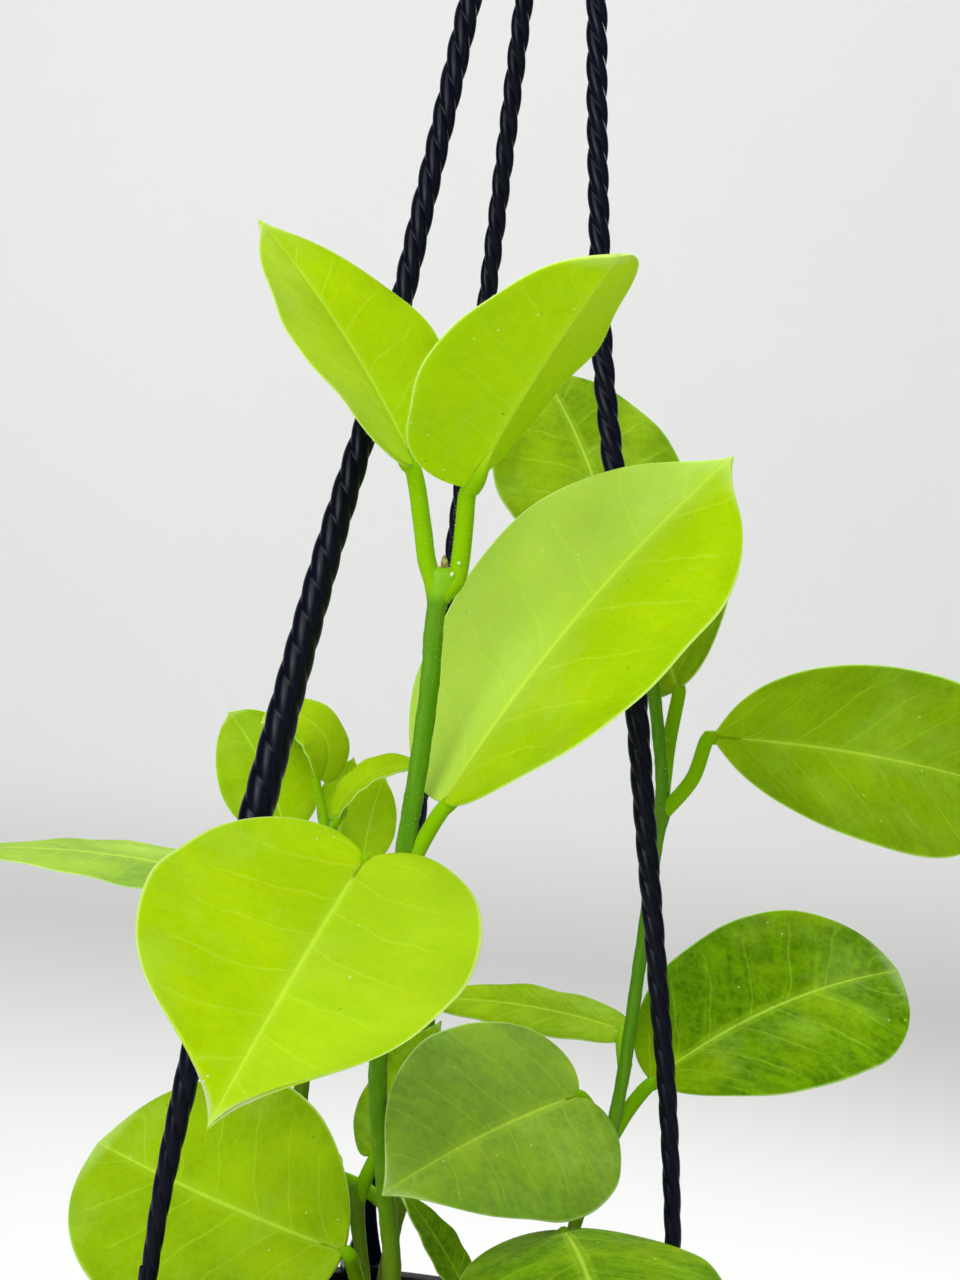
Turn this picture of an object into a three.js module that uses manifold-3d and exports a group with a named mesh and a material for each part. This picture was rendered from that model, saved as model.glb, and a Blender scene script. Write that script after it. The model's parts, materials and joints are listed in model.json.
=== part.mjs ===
// Potted hoya in a hanging pot: a climbing plant with thick heart-shaped leaves in pairs,
// in a round plastic pot that hangs on three moulded twisted legs under one hook.
// Millimetres, +Z up. The origin is the middle of the pot's flat base, and the plant is
// seen from the front when looking along +Y.
import * as THREE from 'three';
import { mergeVertices } from 'three/addons/utils/BufferGeometryUtils.js';
import Module from 'manifold-3d';

const wasm = await Module();
wasm.setup();

// Gap that touching pieces keep between them
const gap = 0.3;

const pot = {
  height: 86,
  baseRadius: 39,
  neckRadius: 52,
  rimRadius: 55,
  wall: 1.6,
  floor: 2.4,
  rimDrop: 8,
  skirt: 1.4,
  sides: 48,
  drainRadius: 2.5,
  drainCircle: 24,
  drains: 5,
};

const soil = { level: 76, crown: 2, sides: 36 };

// The twisted legs: three strands moulded as one, thickest at mid height
const hanger = {
  footRadius: 53.6,
  pitch: 19,
  stepsPerTurn: 6,
  lobe: 0.12,
  pinRadius: 1.7,
  pinDepth: 7,
  bossRadius: 9.5,
  bossBottom: 384,
  bossTop: 400,
  hookWire: 2.1,
  hookRadius: 11,
  hookCentre: 420,
};

// How far a leg stands from the pot's axis, and at which height
const legProfile = [
  [53, 105], [51.9, 118], [48.8, 140], [45, 160], [39.2, 190], [31, 232],
  [22, 272], [18.5, 296], [15.5, 318], [13, 338], [9.4, 362], [6, 384],
];

// Angle of each leg round the pot, its radii from foot to hook, and how far it bows out
const legs = [
  {
    name: 'hanger_leg_left',
    angle: 218,
    radii: [1.4, 2.2, 3, 2.6, 2.05, 2, 2, 1.9],
    bow: 1.2,
  },
  {
    name: 'hanger_leg_back',
    angle: 98,
    radii: [0.9, 1.2, 1.5, 1.6, 1.65, 1.65, 1.7, 1.6],
    bow: 0,
  },
  {
    name: 'hanger_leg_right',
    angle: -22,
    radii: [1.35, 1.65, 1.9, 2.1, 1.85, 1.8, 1.8, 1.7],
    bow: -0.8,
  },
];

// The clip at a leg's foot: a hooked jaw over the rim, and a web that widens towards it
const clip = {
  width: 9, plate: 2, toe: 2.4, lip: 6, toeHeight: 2, webTop: 107, webNeck: 1.6, webDepth: 2.4,
};

const bladeThickness = 0.9;
const petiole = {
  sides: 5, steps: 5, root: 1.5, top: 1.2, tail: 0.5, middle: 0.45, arch: 0.07, lead: 0.8,
};

// A stem's knot at each node: how much fatter it is, and its half height
const knot = { swell: 0.35, reach: 2.5 };

// How far along the outline a leaf's lobes and its drawn-out tip reach, in radians
const outline = { lobeReach: 0.4, tipReach: 0.22 };

// Each stem is a row of points from its foot in the soil to its tip; leaves stand at its nodes
const stems = [
  {
    name: 'stem_front',
    radius: 1.65,
    nodes: [174, 225],
    points: [
      [-1, -13, 60], [-0.6, -16, 104], [-3.4, -20, 121], [-6.8, -26, 143], [-6.4, -31, 163],
      [-6, -34, 182], [-5.2, -35, 196], [-4.8, -35, 211], [-5.1, -35, 221], [-5.1, -35, 229],
    ],
  },
  {
    name: 'stem_right',
    radius: 1.25,
    nodes: [128, 191, 227],
    points: [
      [27, 9, 60], [32.3, 6, 112], [37, 4, 130], [39, 4, 163], [39.7, 5, 183],
      [40.2, 6, 192], [37.1, 10, 211], [32.5, 14, 230],
    ],
  },
  {
    name: 'stem_left',
    radius: 1.25,
    nodes: [131, 159, 177],
    points: [
      [-15, 14, 60], [-20, 19, 105], [-22.4, 19.5, 131], [-23.5, 15, 152], [-22.5, 12.5, 168],
      [-21.5, 12.5, 181],
    ],
  },
  {
    name: 'stem_middle',
    radius: 1.3,
    nodes: [94, 111],
    points: [[-4, -1, 60], [-4.6, 0, 80], [-5.4, 1, 95], [-9.6, 5, 114]],
  },
  {
    name: 'stem_back',
    radius: 1.4,
    nodes: [110, 149],
    points: [[-4, 24, 60], [-2, 28, 98], [1.5, 30, 122], [0, 32, 152]],
  },
  {
    name: 'stem_low_right',
    radius: 1.3,
    nodes: [91, 107],
    points: [[22, -14, 60], [25, -18, 88], [27, -21, 110]],
  },
  {
    name: 'stem_low_middle',
    radius: 1.2,
    nodes: [90],
    points: [[18, -1, 60], [17.5, -2, 78], [16, -3, 93]],
  },
  {
    name: 'stem_low_left',
    radius: 1.3,
    nodes: [90],
    points: [[-17, -13, 60], [-19, -17, 78], [-20, -19, 93]],
  },
  {
    name: 'stem_low_back_left',
    radius: 1.2,
    nodes: [90],
    points: [[-24, 20, 60], [-27, 24, 78], [-29, 27, 93]],
  },
  {
    name: 'stem_low_back_right',
    radius: 1.2,
    nodes: [84],
    points: [[14, 31, 60], [17, 34, 74], [18.5, 35, 87]],
  },
  {
    name: 'stem_low_side',
    radius: 1.2,
    nodes: [88],
    points: [[36, -2, 60], [38, 0, 76], [39, 1, 91]],
  },
];

// Each leaf: the stem and height that it grows from, the base of its blade, the compass
// heading, rise and roll of the blade in degrees, its size, and how it bends. Its stalk runs
// by way of the points in via, or else in a low arch
const leaves = [
  {
    name: 'leaf_top_left', stem: 'stem_front', node: 225, base: [-11.6, -35.8, 247.6],
    heading: 156.3, rise: 49.7, roll: 15.3, length: 50.2, width: 43.5, droop: 13.6, fold: 12.3,
    cup: -0.6, egg: 0.44, lobe: 2.2, tip: 2.6, twist: 16.5, cells: 6, rows: 10, stalk: 1.15,
    via: [[-7.1, -35, 229.5], [-8.8, -35.4, 236.6]],
  },
  {
    name: 'leaf_top_right', stem: 'stem_front', node: 225, base: [-1.8, -36, 244.7],
    heading: -61, rise: 41.5, roll: -20, length: 52.5, width: 41, droop: 13, fold: 19, cup: -3,
    egg: 0.1, lobe: 0, tip: 2.4, twist: 7, cells: 6, stalk: 1.15,
    via: [[-1.9, -35.2, 230.4], [-1.4, -35.6, 238.1]],
  },
  {
    name: 'leaf_upper_right', stem: 'stem_front', node: 174, base: [-0.2, -36, 191],
    heading: 19, rise: 55, roll: -18, length: 73, width: 65, droop: 15.5, fold: 7, cup: -3,
    egg: 0.1, lobe: 0.7, tip: 5, twist: -26, cells: 6, rows: 10,
  },
  {
    name: 'leaf_front_heart', stem: 'stem_front', node: 174, base: [-12.4, -40.3, 180.3],
    heading: -106, rise: -30.5, roll: 12.5, length: 57, width: 55, droop: 5, fold: 12.5, cup: 3,
    egg: 0, lobe: 5, tip: 9.5, twist: 2.5, cells: 6, rows: 10,
  },
  {
    name: 'leaf_behind_top', stem: 'stem_right', node: 227, base: [28.4, 20, 234.4],
    heading: 117, rise: 46, roll: 18, length: 56, width: 39, droop: 24, fold: 5.5, cup: -8.5,
    egg: 0.1, lobe: 2, tip: 3.6, twist: 6,
  },
  {
    name: 'leaf_behind_right', stem: 'stem_right', node: 194, base: [41.2, 12.5, 213.9],
    heading: 104, rise: 35, roll: 46, length: 49, width: 40, droop: 8, fold: 14, cup: 2,
    egg: 0.1, lobe: 1.3, tip: 3, twist: -8, via: [[40.8, 12.5, 203.5]],
  },
  {
    name: 'leaf_far_right', stem: 'stem_right', node: 190, base: [48.4, 6, 205.5],
    heading: 22, rise: -4, roll: -89, length: 65.5, width: 44, droop: 12, fold: 24, cup: 15,
    egg: -0.1, lobe: -1.3, tip: 2, twist: -17, cells: 6, via: [[45.2, 4.8, 197.4]],
  },
  {
    name: 'leaf_lower_right', stem: 'stem_right', node: 128, base: [44.2, 10, 139.4],
    heading: 31.5, rise: 20.5, roll: -34, length: 62, width: 43, droop: 26, fold: 7.5, cup: -4.5,
    egg: -0.1, lobe: 0.1, tip: 2.9, twist: -16.5, cells: 6,
  },
  {
    name: 'leaf_lower_middle', stem: 'stem_right', node: 128, base: [29.9, 0, 137.1],
    heading: -129, rise: -12, roll: 39, length: 49, width: 42.5, droop: 11, fold: 14, cup: -13,
    egg: 0.2, lobe: 3.7, tip: 5, twist: -6, cells: 6,
  },
  {
    name: 'leaf_lower_left', stem: 'stem_middle', node: 94, base: [-10, -8, 106],
    heading: 146, rise: 6, roll: 56, length: 61, width: 51, droop: -7, fold: 9, cup: -6,
    egg: -0.1, lobe: 0.5, tip: 0.7, twist: -25, cells: 6,
  },
  {
    name: 'leaf_far_left', stem: 'stem_left', node: 159, base: [-42.5, 12, 169],
    heading: 192, rise: 1, roll: 5, length: 48, width: 37, droop: 18, fold: -2, cup: -1,
    egg: 0.2, twist: -12,
  },
  {
    name: 'leaf_lower_back', stem: 'stem_right', node: 143, base: [37.6, 18.5, 147],
    heading: 171, rise: 1, roll: 13, length: 39, width: 23.5, droop: 20, fold: 4, twist: -4,
  },
  {
    name: 'leaf_low_front', stem: 'stem_low_right', node: 107, base: [28.3, -26, 118.4],
    heading: -84, rise: -6.5, roll: -14, length: 59, width: 46, droop: 24, fold: -3, cup: -9,
    egg: 0.1, lobe: 3.9, twist: -10, cells: 6,
  },
  {
    name: 'leaf_low_slim', stem: 'stem_low_middle', node: 90, base: [13.8, -2, 97.9],
    heading: 165, rise: 50, roll: 20, length: 21, width: 10, droop: 15, rows: 7, fold: 14, wave: 0.2,
  },
  {
    name: 'leaf_low_narrow', stem: 'stem_middle', node: 111, base: [-6.1, 7.5, 121.4],
    heading: 45, rise: 62, roll: -20, length: 24, width: 15, droop: 15, rows: 7,
  },
  {
    name: 'leaf_young_left', stem: 'stem_left', node: 164, base: [-30.8, 18, 178.7],
    heading: 180, rise: 59, roll: 80, length: 24.5, width: 19, droop: 25, rows: 7, stalk: 0.6,
    lobe: 0.8, tip: 0.3, wave: 0.2,
  },
  {
    name: 'leaf_young_hook', stem: 'stem_left', node: 175, base: [-24.4, 12, 189.5],
    heading: 182, rise: 40, roll: 42, length: 21.3, width: 12.5, droop: 158, rows: 8, stalk: 0.6,
    lobe: 0.5, tip: 0.5, fold: 4, wave: 0,
  },
  {
    name: 'leaf_young_middle', stem: 'stem_left', node: 172, base: [-20.8, 22, 178.5],
    heading: 0, rise: 84, roll: -85, length: 14, width: 9.5, droop: 10, rows: 6, stalk: 0.6,
    lobe: 1, tip: 1, wave: 0.2,
  },
  {
    name: 'leaf_young_arch', stem: 'stem_left', node: 177, base: [-20.2, 7, 183.6],
    heading: -8, rise: 38, roll: -32, length: 18.5, width: 9.5, droop: 75, rows: 7, stalk: 0.6,
    fold: 18, lobe: 1, tip: 2.5, wave: 0.1,
  },
  {
    name: 'leaf_young_right', stem: 'stem_left', node: 168, base: [-14.9, 16.5, 175],
    heading: 0, rise: 82, roll: -85, length: 15, width: 10.5, droop: 15, rows: 6, stalk: 0.6,
    lobe: 1, tip: 1, wave: 0.2,
  },
  {
    name: 'leaf_back_high', stem: 'stem_back', node: 149, base: [-16, 36, 156],
    heading: 155, rise: 8, roll: 0, length: 48, width: 38, droop: 25,
  },
  {
    name: 'leaf_back_middle', stem: 'stem_back', node: 110, base: [9, 40, 118],
    heading: 80, rise: 5, roll: 5, length: 56, width: 40, droop: 30,
  },
  {
    name: 'leaf_back_side', stem: 'stem_back', node: 104, base: [-17, 36, 110],
    heading: 158, rise: 0, roll: 0, length: 33, width: 28, droop: 25,
  },
  {
    name: 'leaf_low_back_left', stem: 'stem_low_back_left', node: 90, base: [-34, 33, 96],
    heading: 120, rise: -9, roll: 0, length: 52, width: 40, droop: 35,
  },
  {
    name: 'leaf_low_back_right', stem: 'stem_low_back_right', node: 84, base: [24, 40, 89.5],
    heading: 45, rise: -9, roll: 0, length: 54, width: 39, droop: 22,
  },
  {
    name: 'leaf_low_side', stem: 'stem_low_side', node: 88, base: [45, 5, 95],
    heading: 22, rise: -5, roll: 5, length: 56, width: 38, droop: 45,
  },
  {
    name: 'leaf_low_front_left', stem: 'stem_low_left', node: 90, base: [-15, -29, 96],
    heading: -90, rise: -8, roll: 0, length: 58, width: 36, droop: 45,
  },
  {
    name: 'leaf_low_front_right', stem: 'stem_low_right', node: 91, base: [32, -23.5, 97],
    heading: -56, rise: -3, roll: 0, length: 56, width: 30, droop: 40,
  },
];

const colours = {
  leaf: 0x9ccc16,
  stem: 0x6f9a1c,
  pot: 0x17181b,
  hanger: 0x15161d,
  soil: 0x3a2a20,
};

function material(color, roughness) {
  return new THREE.MeshStandardMaterial({ color, roughness, metalness: 0 });
}

const group = new THREE.Group();

function place(name, geometry, surface) {
  const mesh = new THREE.Mesh(geometry, surface);
  mesh.name = name;
  group.add(mesh);
}

// A closed geometry as a solid that can be joined and cut
function solidOf(geometry) {
  const bare = geometry.clone();
  bare.deleteAttribute('normal');
  bare.deleteAttribute('uv');
  const merged = mergeVertices(bare, 1e-4);
  const vertProperties = new Float32Array(merged.attributes.position.array);
  const triVerts = new Uint32Array(merged.index.array);
  return new wasm.Manifold(new wasm.Mesh({ numProp: 3, vertProperties, triVerts }));
}

function geometryOf(solid) {
  const mesh = solid.getMesh();
  const geometry = new THREE.BufferGeometry();
  geometry.setAttribute('position', new THREE.BufferAttribute(mesh.vertProperties, 3));
  geometry.setIndex(new THREE.BufferAttribute(mesh.triVerts, 1));
  geometry.computeVertexNormals();
  return geometry;
}

// A section of corners at the given distances from the middle, swept along a curve;
// radiusAt gives the size and turnAt the turn of the section at each share of the length
function sweep(corners, curve, steps, radiusAt, turnAt = () => 0) {
  const section = corners.map((reach, i) => {
    const angle = (2 * Math.PI * i) / corners.length;
    return new THREE.Vector2(reach * Math.cos(angle), reach * Math.sin(angle));
  });
  const shape = new THREE.Shape(section);
  const straight = new THREE.ExtrudeGeometry(shape, { depth: 1, steps, bevelEnabled: false });
  const frames = curve.computeFrenetFrames(steps);
  const position = straight.attributes.position;
  for (let i = 0; i < position.count; i += 1) {
    const share = position.getZ(i);
    const at = Math.round(share * steps);
    const radius = radiusAt(share);
    const turn = turnAt(share);
    const across = position.getX(i) * Math.cos(turn) - position.getY(i) * Math.sin(turn);
    const beside = position.getX(i) * Math.sin(turn) + position.getY(i) * Math.cos(turn);
    const point = curve.getPointAt(share);
    point.addScaledVector(frames.normals[at], across * radius);
    point.addScaledVector(frames.binormals[at], beside * radius);
    position.setXYZ(i, point.x, point.y, point.z);
  }
  return straight;
}

function round(sides) {
  return new Array(sides).fill(1);
}

// Value at a share of the way along a list of evenly spaced values
function along(values, share) {
  const at = Math.min(share, 0.9999) * (values.length - 1);
  const low = Math.floor(at);
  return THREE.MathUtils.lerp(values[low], values[low + 1], at - low);
}

function lathe(profile, sides) {
  const points = profile.map(([r, z]) => new THREE.Vector2(r, z));
  return new THREE.LatheGeometry(points, sides).rotateX(Math.PI / 2);
}

function buildPot() {
  const { height, baseRadius, neckRadius, rimRadius, wall, floor, rimDrop, skirt, sides } = pot;
  const neck = height - rimDrop;
  const profile = [
    [0, 0], [baseRadius - 1.5, 0], [baseRadius, 1.5], [neckRadius, neck], [neckRadius, height - skirt],
    [rimRadius - skirt, height - skirt], [rimRadius - skirt, neck], [rimRadius, neck], [rimRadius, height],
    [neckRadius - wall, height], [neckRadius - wall, neck], [baseRadius - wall, floor], [0, floor],
  ];
  let body = solidOf(lathe(profile, sides));
  for (let i = 0; i < pot.drains; i += 1) {
    const angle = (2 * Math.PI * (i + 0.5)) / pot.drains;
    const x = pot.drainCircle * Math.cos(angle);
    const y = pot.drainCircle * Math.sin(angle);
    const drain = new THREE.CylinderGeometry(pot.drainRadius, pot.drainRadius, 3 * floor, 12);
    drain.rotateX(Math.PI / 2).translate(x, y, 0);
    body = body.subtract(solidOf(drain));
  }
  return body;
}

// The pot's inner radius at a height
function innerRadius(z) {
  const neck = pot.height - pot.rimDrop;
  const share = Math.min((z - pot.floor) / (neck - pot.floor), 1);
  return pot.baseRadius + share * (pot.neckRadius - pot.baseRadius) - pot.wall;
}

// A stem's middle line; `extra` makes it a little longer at both ends
function stemCurve(stem, extra = 0) {
  const points = stem.points.map((p) => new THREE.Vector3(...p));
  points[0].z -= extra;
  points[points.length - 1].z += extra;
  return new THREE.CatmullRomCurve3(points);
}

// A stem swells a little at each node; `extra` makes the same form a little fatter
function stemSolid(stem, extra) {
  const curve = stemCurve(stem, extra);
  const steps = 2 * stem.points.length;
  const swell = (share) => {
    const z = curve.getPointAt(share).z;
    const bumps = stem.nodes.map((node) => Math.exp(-(((z - node) / knot.reach) ** 2)));
    return stem.radius * (1 + knot.swell * Math.max(0, ...bumps)) + extra;
  };
  return solidOf(sweep(round(8), curve, steps, swell));
}

function buildSoil() {
  const { level, crown, sides } = soil;
  const bottom = pot.floor + gap;
  const side = (z) => innerRadius(z) - 2 * gap;
  const profile = [
    [0, bottom], [side(bottom), bottom], [side(level - crown), level - crown],
    [0.6 * side(level), level], [0, level + 0.5 * crown],
  ];
  let body = solidOf(lathe(profile, sides));
  for (const stem of stems) {
    body = body.subtract(stemSolid(stem, gap));
  }
  return body;
}

// Point on a leaf: x across the blade, y along the midrib from its base, lift off the blade
function leafPoint(leaf, x, y, lift) {
  const rad = Math.PI / 180;
  const heading = new THREE.Vector3(Math.cos(leaf.heading * rad), Math.sin(leaf.heading * rad), 0);
  const up = new THREE.Vector3(0, 0, 1);
  const right = new THREE.Vector3().crossVectors(heading, up);
  const rise = (share) => (leaf.rise - leaf.droop * (share - 0.5)) * rad;

  // The midrib is an arc: follow it in small steps
  const steps = 16;
  const point = new THREE.Vector3(...leaf.base);
  for (let i = 0; i < steps; i += 1) {
    const slope = rise(((i + 0.5) / steps) * (y / leaf.length));
    point.addScaledVector(heading, (Math.cos(slope) * y) / steps);
    point.addScaledVector(up, (Math.sin(slope) * y) / steps);
  }
  const slope = rise(y / leaf.length);
  const upright = up.clone().multiplyScalar(Math.cos(slope)).addScaledVector(heading, -Math.sin(slope));
  const roll = (leaf.roll + leaf.twist * (y / leaf.length - 0.5)) * rad;
  const side = right.clone().multiplyScalar(Math.cos(roll)).addScaledVector(upright, Math.sin(roll));
  const face = upright.clone().multiplyScalar(Math.cos(roll)).addScaledVector(right, -Math.sin(roll));

  // Both halves tilt up from the midrib by the fold, and curve on towards the margin by the cup
  const out = Math.abs(x) / (leaf.width / 2);
  const tilt = (leaf.fold + leaf.cup * out) * rad;
  const wave = leaf.wave * Math.sin((4 * Math.PI * y) / leaf.length + Math.sign(x)) * out * out;
  point.addScaledVector(side, x * Math.cos(tilt) - Math.sign(x) * lift * Math.sin(tilt));
  point.addScaledVector(face, Math.abs(x) * Math.sin(tilt) + wave + lift * Math.cos(tilt));
  return point;
}

// Half outline of a leaf: an egg shape with two rounded lobes at the base and a drawn-out tip
function leafOutline(leaf, angle) {
  const widest = 1 + 0.5 * leaf.egg * leaf.egg;
  const half = (0.5 * leaf.width * Math.sin(angle) * (1 + leaf.egg * Math.cos(angle))) / widest;
  const near = angle / outline.lobeReach;
  const lobe = leaf.lobe * near * Math.exp(1 - near);
  const tip = leaf.tip * Math.exp((angle - Math.PI) / outline.tipReach);
  return { half, y: (leaf.length * (1 - Math.cos(angle))) / 2 - lobe + tip };
}

// The blade as one closed sheet, split into triangles alike on both faces
function bladeGeometry(leaf) {
  const { rows, cells } = leaf;
  const position = [];
  const index = [];
  const ids = [];
  for (let row = 0; row <= rows; row += 1) {
    const angle = (Math.PI * row) / rows;
    const { half, y } = leafOutline(leaf, angle);
    const rib = ((leaf.length + leaf.tip) * (1 - Math.cos(angle))) / 2;
    const isEnd = row === 0 || row === rows;
    const line = [];
    for (let cell = 0; cell <= cells; cell += 1) {
      const across = (2 * cell) / cells - 1;
      if (isEnd && cell > 0) {
        line.push(line[0]);
      } else {
        const x = isEnd ? 0 : across * half;
        const at = isEnd ? rib : rib + (y - rib) * Math.abs(across);
        line.push(position.length / 3);
        position.push(...leafPoint(leaf, x, at, bladeThickness / 2));
        position.push(...leafPoint(leaf, x, at, -bladeThickness / 2));
      }
    }
    ids.push(line);
  }
  const triangle = (a, b, c) => {
    if (a === b || b === c || c === a) {
      return;
    }
    index.push(a, b, c);
    index.push(a + 1, c + 1, b + 1);
  };
  for (let row = 0; row < rows; row += 1) {
    for (let cell = 0; cell < cells; cell += 1) {
      const a = ids[row][cell];
      const b = ids[row][cell + 1];
      const c = ids[row + 1][cell + 1];
      const d = ids[row + 1][cell];
      if (cell < cells / 2) {
        triangle(a, b, c);
        triangle(a, c, d);
      } else {
        triangle(a, b, d);
        triangle(b, c, d);
      }
    }
    const left = [ids[row][0], ids[row + 1][0]];
    const right = [ids[row][cells], ids[row + 1][cells]];
    index.push(left[0], left[1], left[1] + 1, left[0], left[1] + 1, left[0] + 1);
    index.push(right[0], right[1] + 1, right[1], right[0], right[0] + 1, right[1] + 1);
  }
  const geometry = new THREE.BufferGeometry();
  geometry.setAttribute('position', new THREE.Float32BufferAttribute(position, 3));
  geometry.setIndex(index);
  return geometry;
}

// Point on a stem at a height
function stemPoint(stem, z) {
  const curve = stemCurve(stem);
  let low = 0;
  let high = 1;
  for (let i = 0; i < 30; i += 1) {
    const middle = (low + high) / 2;
    if (curve.getPointAt(middle).z < z) {
      low = middle;
    } else {
      high = middle;
    }
  }
  return curve.getPointAt(low);
}

// The leaf stalk runs from the stem's middle into the underside of the blade
function petioleGeometry(leaf, root) {
  const base = new THREE.Vector3(...leaf.base);
  const reach = base.distanceTo(root);
  const bend = root.clone().lerp(base, petiole.middle);
  bend.z += petiole.arch * reach;
  const bends = leaf.via ? leaf.via.map((point) => new THREE.Vector3(...point)) : [bend];
  const points = [
    root,
    ...bends,
    leafPoint(leaf, 0, -petiole.lead, -0.5),
    leafPoint(leaf, 0, 0.5, -1),
    leafPoint(leaf, 0, 0.16 * leaf.length, -0.6),
  ];
  const curve = new THREE.CatmullRomCurve3(points, false, 'centripetal');
  const radii = [petiole.root, petiole.root, petiole.root, petiole.top, petiole.top, petiole.tail];
  return sweep(round(petiole.sides), curve, petiole.steps, (share) => leaf.stalk * along(radii, share));
}

// What a leaf has where its own line says nothing
const plain = {
  fold: 8, cup: -5, egg: 0.15, lobe: 2.5, tip: 3, twist: 0, wave: 0.6, stalk: 1, rows: 8, cells: 4,
};

function buildLeaf(spec) {
  const leaf = { ...plain, ...spec };
  const stem = stems.find((s) => s.name === leaf.stem);
  const root = stemPoint(stem, leaf.node);
  const body = solidOf(bladeGeometry(leaf)).add(solidOf(petioleGeometry(leaf, root)));
  const cut = body.subtract(stemSolid(stem, 1.4 * gap));
  const pieces = cut.decompose().sort((a, b) => b.volume() - a.volume());
  return pieces[0];
}

function legCurve(leg) {
  const turn = (leg.angle * Math.PI) / 180;
  const points = legProfile.map(([r, z], i) => {
    const share = i / (legProfile.length - 1);
    const reach = r + leg.bow * Math.sin(Math.PI * share);
    return new THREE.Vector3(reach * Math.cos(turn), reach * Math.sin(turn), z);
  });
  return new THREE.CatmullRomCurve3(points);
}

// The pin at a leg's upper end and the socket that takes it, along the leg's last direction
function pinGeometry(leg, radius, depth) {
  const curve = legCurve(leg);
  const end = curve.getPointAt(1);
  const direction = curve.getTangentAt(1);
  const cylinder = new THREE.CylinderGeometry(radius, radius, 2 * depth, 12);
  const turn = new THREE.Quaternion().setFromUnitVectors(new THREE.Vector3(0, 1, 0), direction);
  return cylinder.applyQuaternion(turn).translate(end.x, end.y, end.z);
}

// The clip at a leg's foot reaches over the rim and under the skirt, in the leg's own plane
function clipSolid(leg) {
  const { rimRadius, height, rimDrop, neckRadius, wall } = pot;
  const { width, plate, toe, lip, toeHeight, webTop, webNeck, webDepth } = clip;
  const outer = rimRadius + gap;
  const inner = neckRadius - wall - 2 * gap;
  const top = height + gap;
  const toeTop = height - rimDrop - gap;
  const jaw = new THREE.Shape([
    new THREE.Vector2(inner - plate, top - lip),
    new THREE.Vector2(inner, top - lip),
    new THREE.Vector2(inner, top),
    new THREE.Vector2(outer, top),
    new THREE.Vector2(outer, toeTop),
    new THREE.Vector2(rimRadius - toe, toeTop),
    new THREE.Vector2(rimRadius - toe, toeTop - toeHeight),
    new THREE.Vector2(outer + plate, toeTop - toeHeight),
    new THREE.Vector2(outer + plate, top + plate),
    new THREE.Vector2(inner - plate, top + plate),
  ]);
  const jawBody = new THREE.ExtrudeGeometry(jaw, { depth: width, bevelEnabled: false });
  jawBody.translate(0, 0, -width / 2).rotateX(Math.PI / 2);
  const wedge = new THREE.Shape([
    new THREE.Vector2(-width / 2, top + 0.5 * plate),
    new THREE.Vector2(width / 2, top + 0.5 * plate),
    new THREE.Vector2(webNeck / 2, webTop),
    new THREE.Vector2(-webNeck / 2, webTop),
  ]);
  const webBody = new THREE.ExtrudeGeometry(wedge, { depth: webDepth, bevelEnabled: false });
  webBody.rotateX(Math.PI / 2).rotateZ(Math.PI / 2).translate(hanger.footRadius - webDepth / 2, 0, 0);
  const turn = (leg.angle * Math.PI) / 180;
  return solidOf(jawBody.rotateZ(turn)).add(solidOf(webBody.rotateZ(turn)));
}

function buildLeg(leg) {
  const curve = legCurve(leg);
  const turns = curve.getLength() / hanger.pitch;
  const steps = Math.round(turns * hanger.stepsPerTurn);
  const section = [0, 1, 2, 3, 4, 5].map((i) => (i % 2 === 0 ? 1 + hanger.lobe : 1 - hanger.lobe));
  const rope = sweep(section, curve, steps, (s) => along(leg.radii, s), (s) => 2 * Math.PI * turns * s);
  const pin = pinGeometry(leg, hanger.pinRadius, hanger.pinDepth - gap);
  return solidOf(rope).add(solidOf(pin)).add(clipSolid(leg));
}

function buildHook() {
  const { bossRadius, bossBottom, bossTop, pinRadius, pinDepth } = hanger;
  const { hookWire, hookRadius, hookCentre } = hanger;
  const profile = [
    [0, bossBottom + 2 * gap], [bossRadius, bossBottom + 2 * gap], [bossRadius, bossBottom + 6],
    [bossRadius - 3, bossBottom + 12], [hookWire + 0.6, bossTop], [0, bossTop],
  ];
  let body = solidOf(lathe(profile, 24));
  for (const leg of legs) {
    body = body.subtract(solidOf(pinGeometry(leg, pinRadius + gap, pinDepth)));
  }
  const points = [new THREE.Vector3(0, 0, bossTop - 4), new THREE.Vector3(0, 0, bossTop + 3)];
  for (let angle = -70; angle <= 210; angle += 20) {
    const turn = (angle * Math.PI) / 180;
    const x = hookRadius * Math.cos(turn);
    points.push(new THREE.Vector3(x, 0, hookCentre + hookRadius * Math.sin(turn)));
  }
  const curve = new THREE.CatmullRomCurve3(points);
  return body.add(solidOf(sweep(round(8), curve, 28, () => hookWire)));
}

place('pot', geometryOf(buildPot()), material(colours.pot, 0.5));
place('soil', geometryOf(buildSoil()), material(colours.soil, 1));
for (const stem of stems) {
  place(stem.name, geometryOf(stemSolid(stem, 0)), material(colours.stem, 0.6));
}
for (const leaf of leaves) {
  place(leaf.name, geometryOf(buildLeaf(leaf)), material(colours.leaf, 0.5));
}
for (const leg of legs) {
  place(leg.name, geometryOf(buildLeg(leg)), material(colours.hanger, 0.4));
}
place('hanger_hook', geometryOf(buildHook()), material(colours.hanger, 0.4));

export default group;
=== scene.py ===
import bmesh
import bpy
import json
import math
import numpy as np
from mathutils import Matrix, Vector

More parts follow.
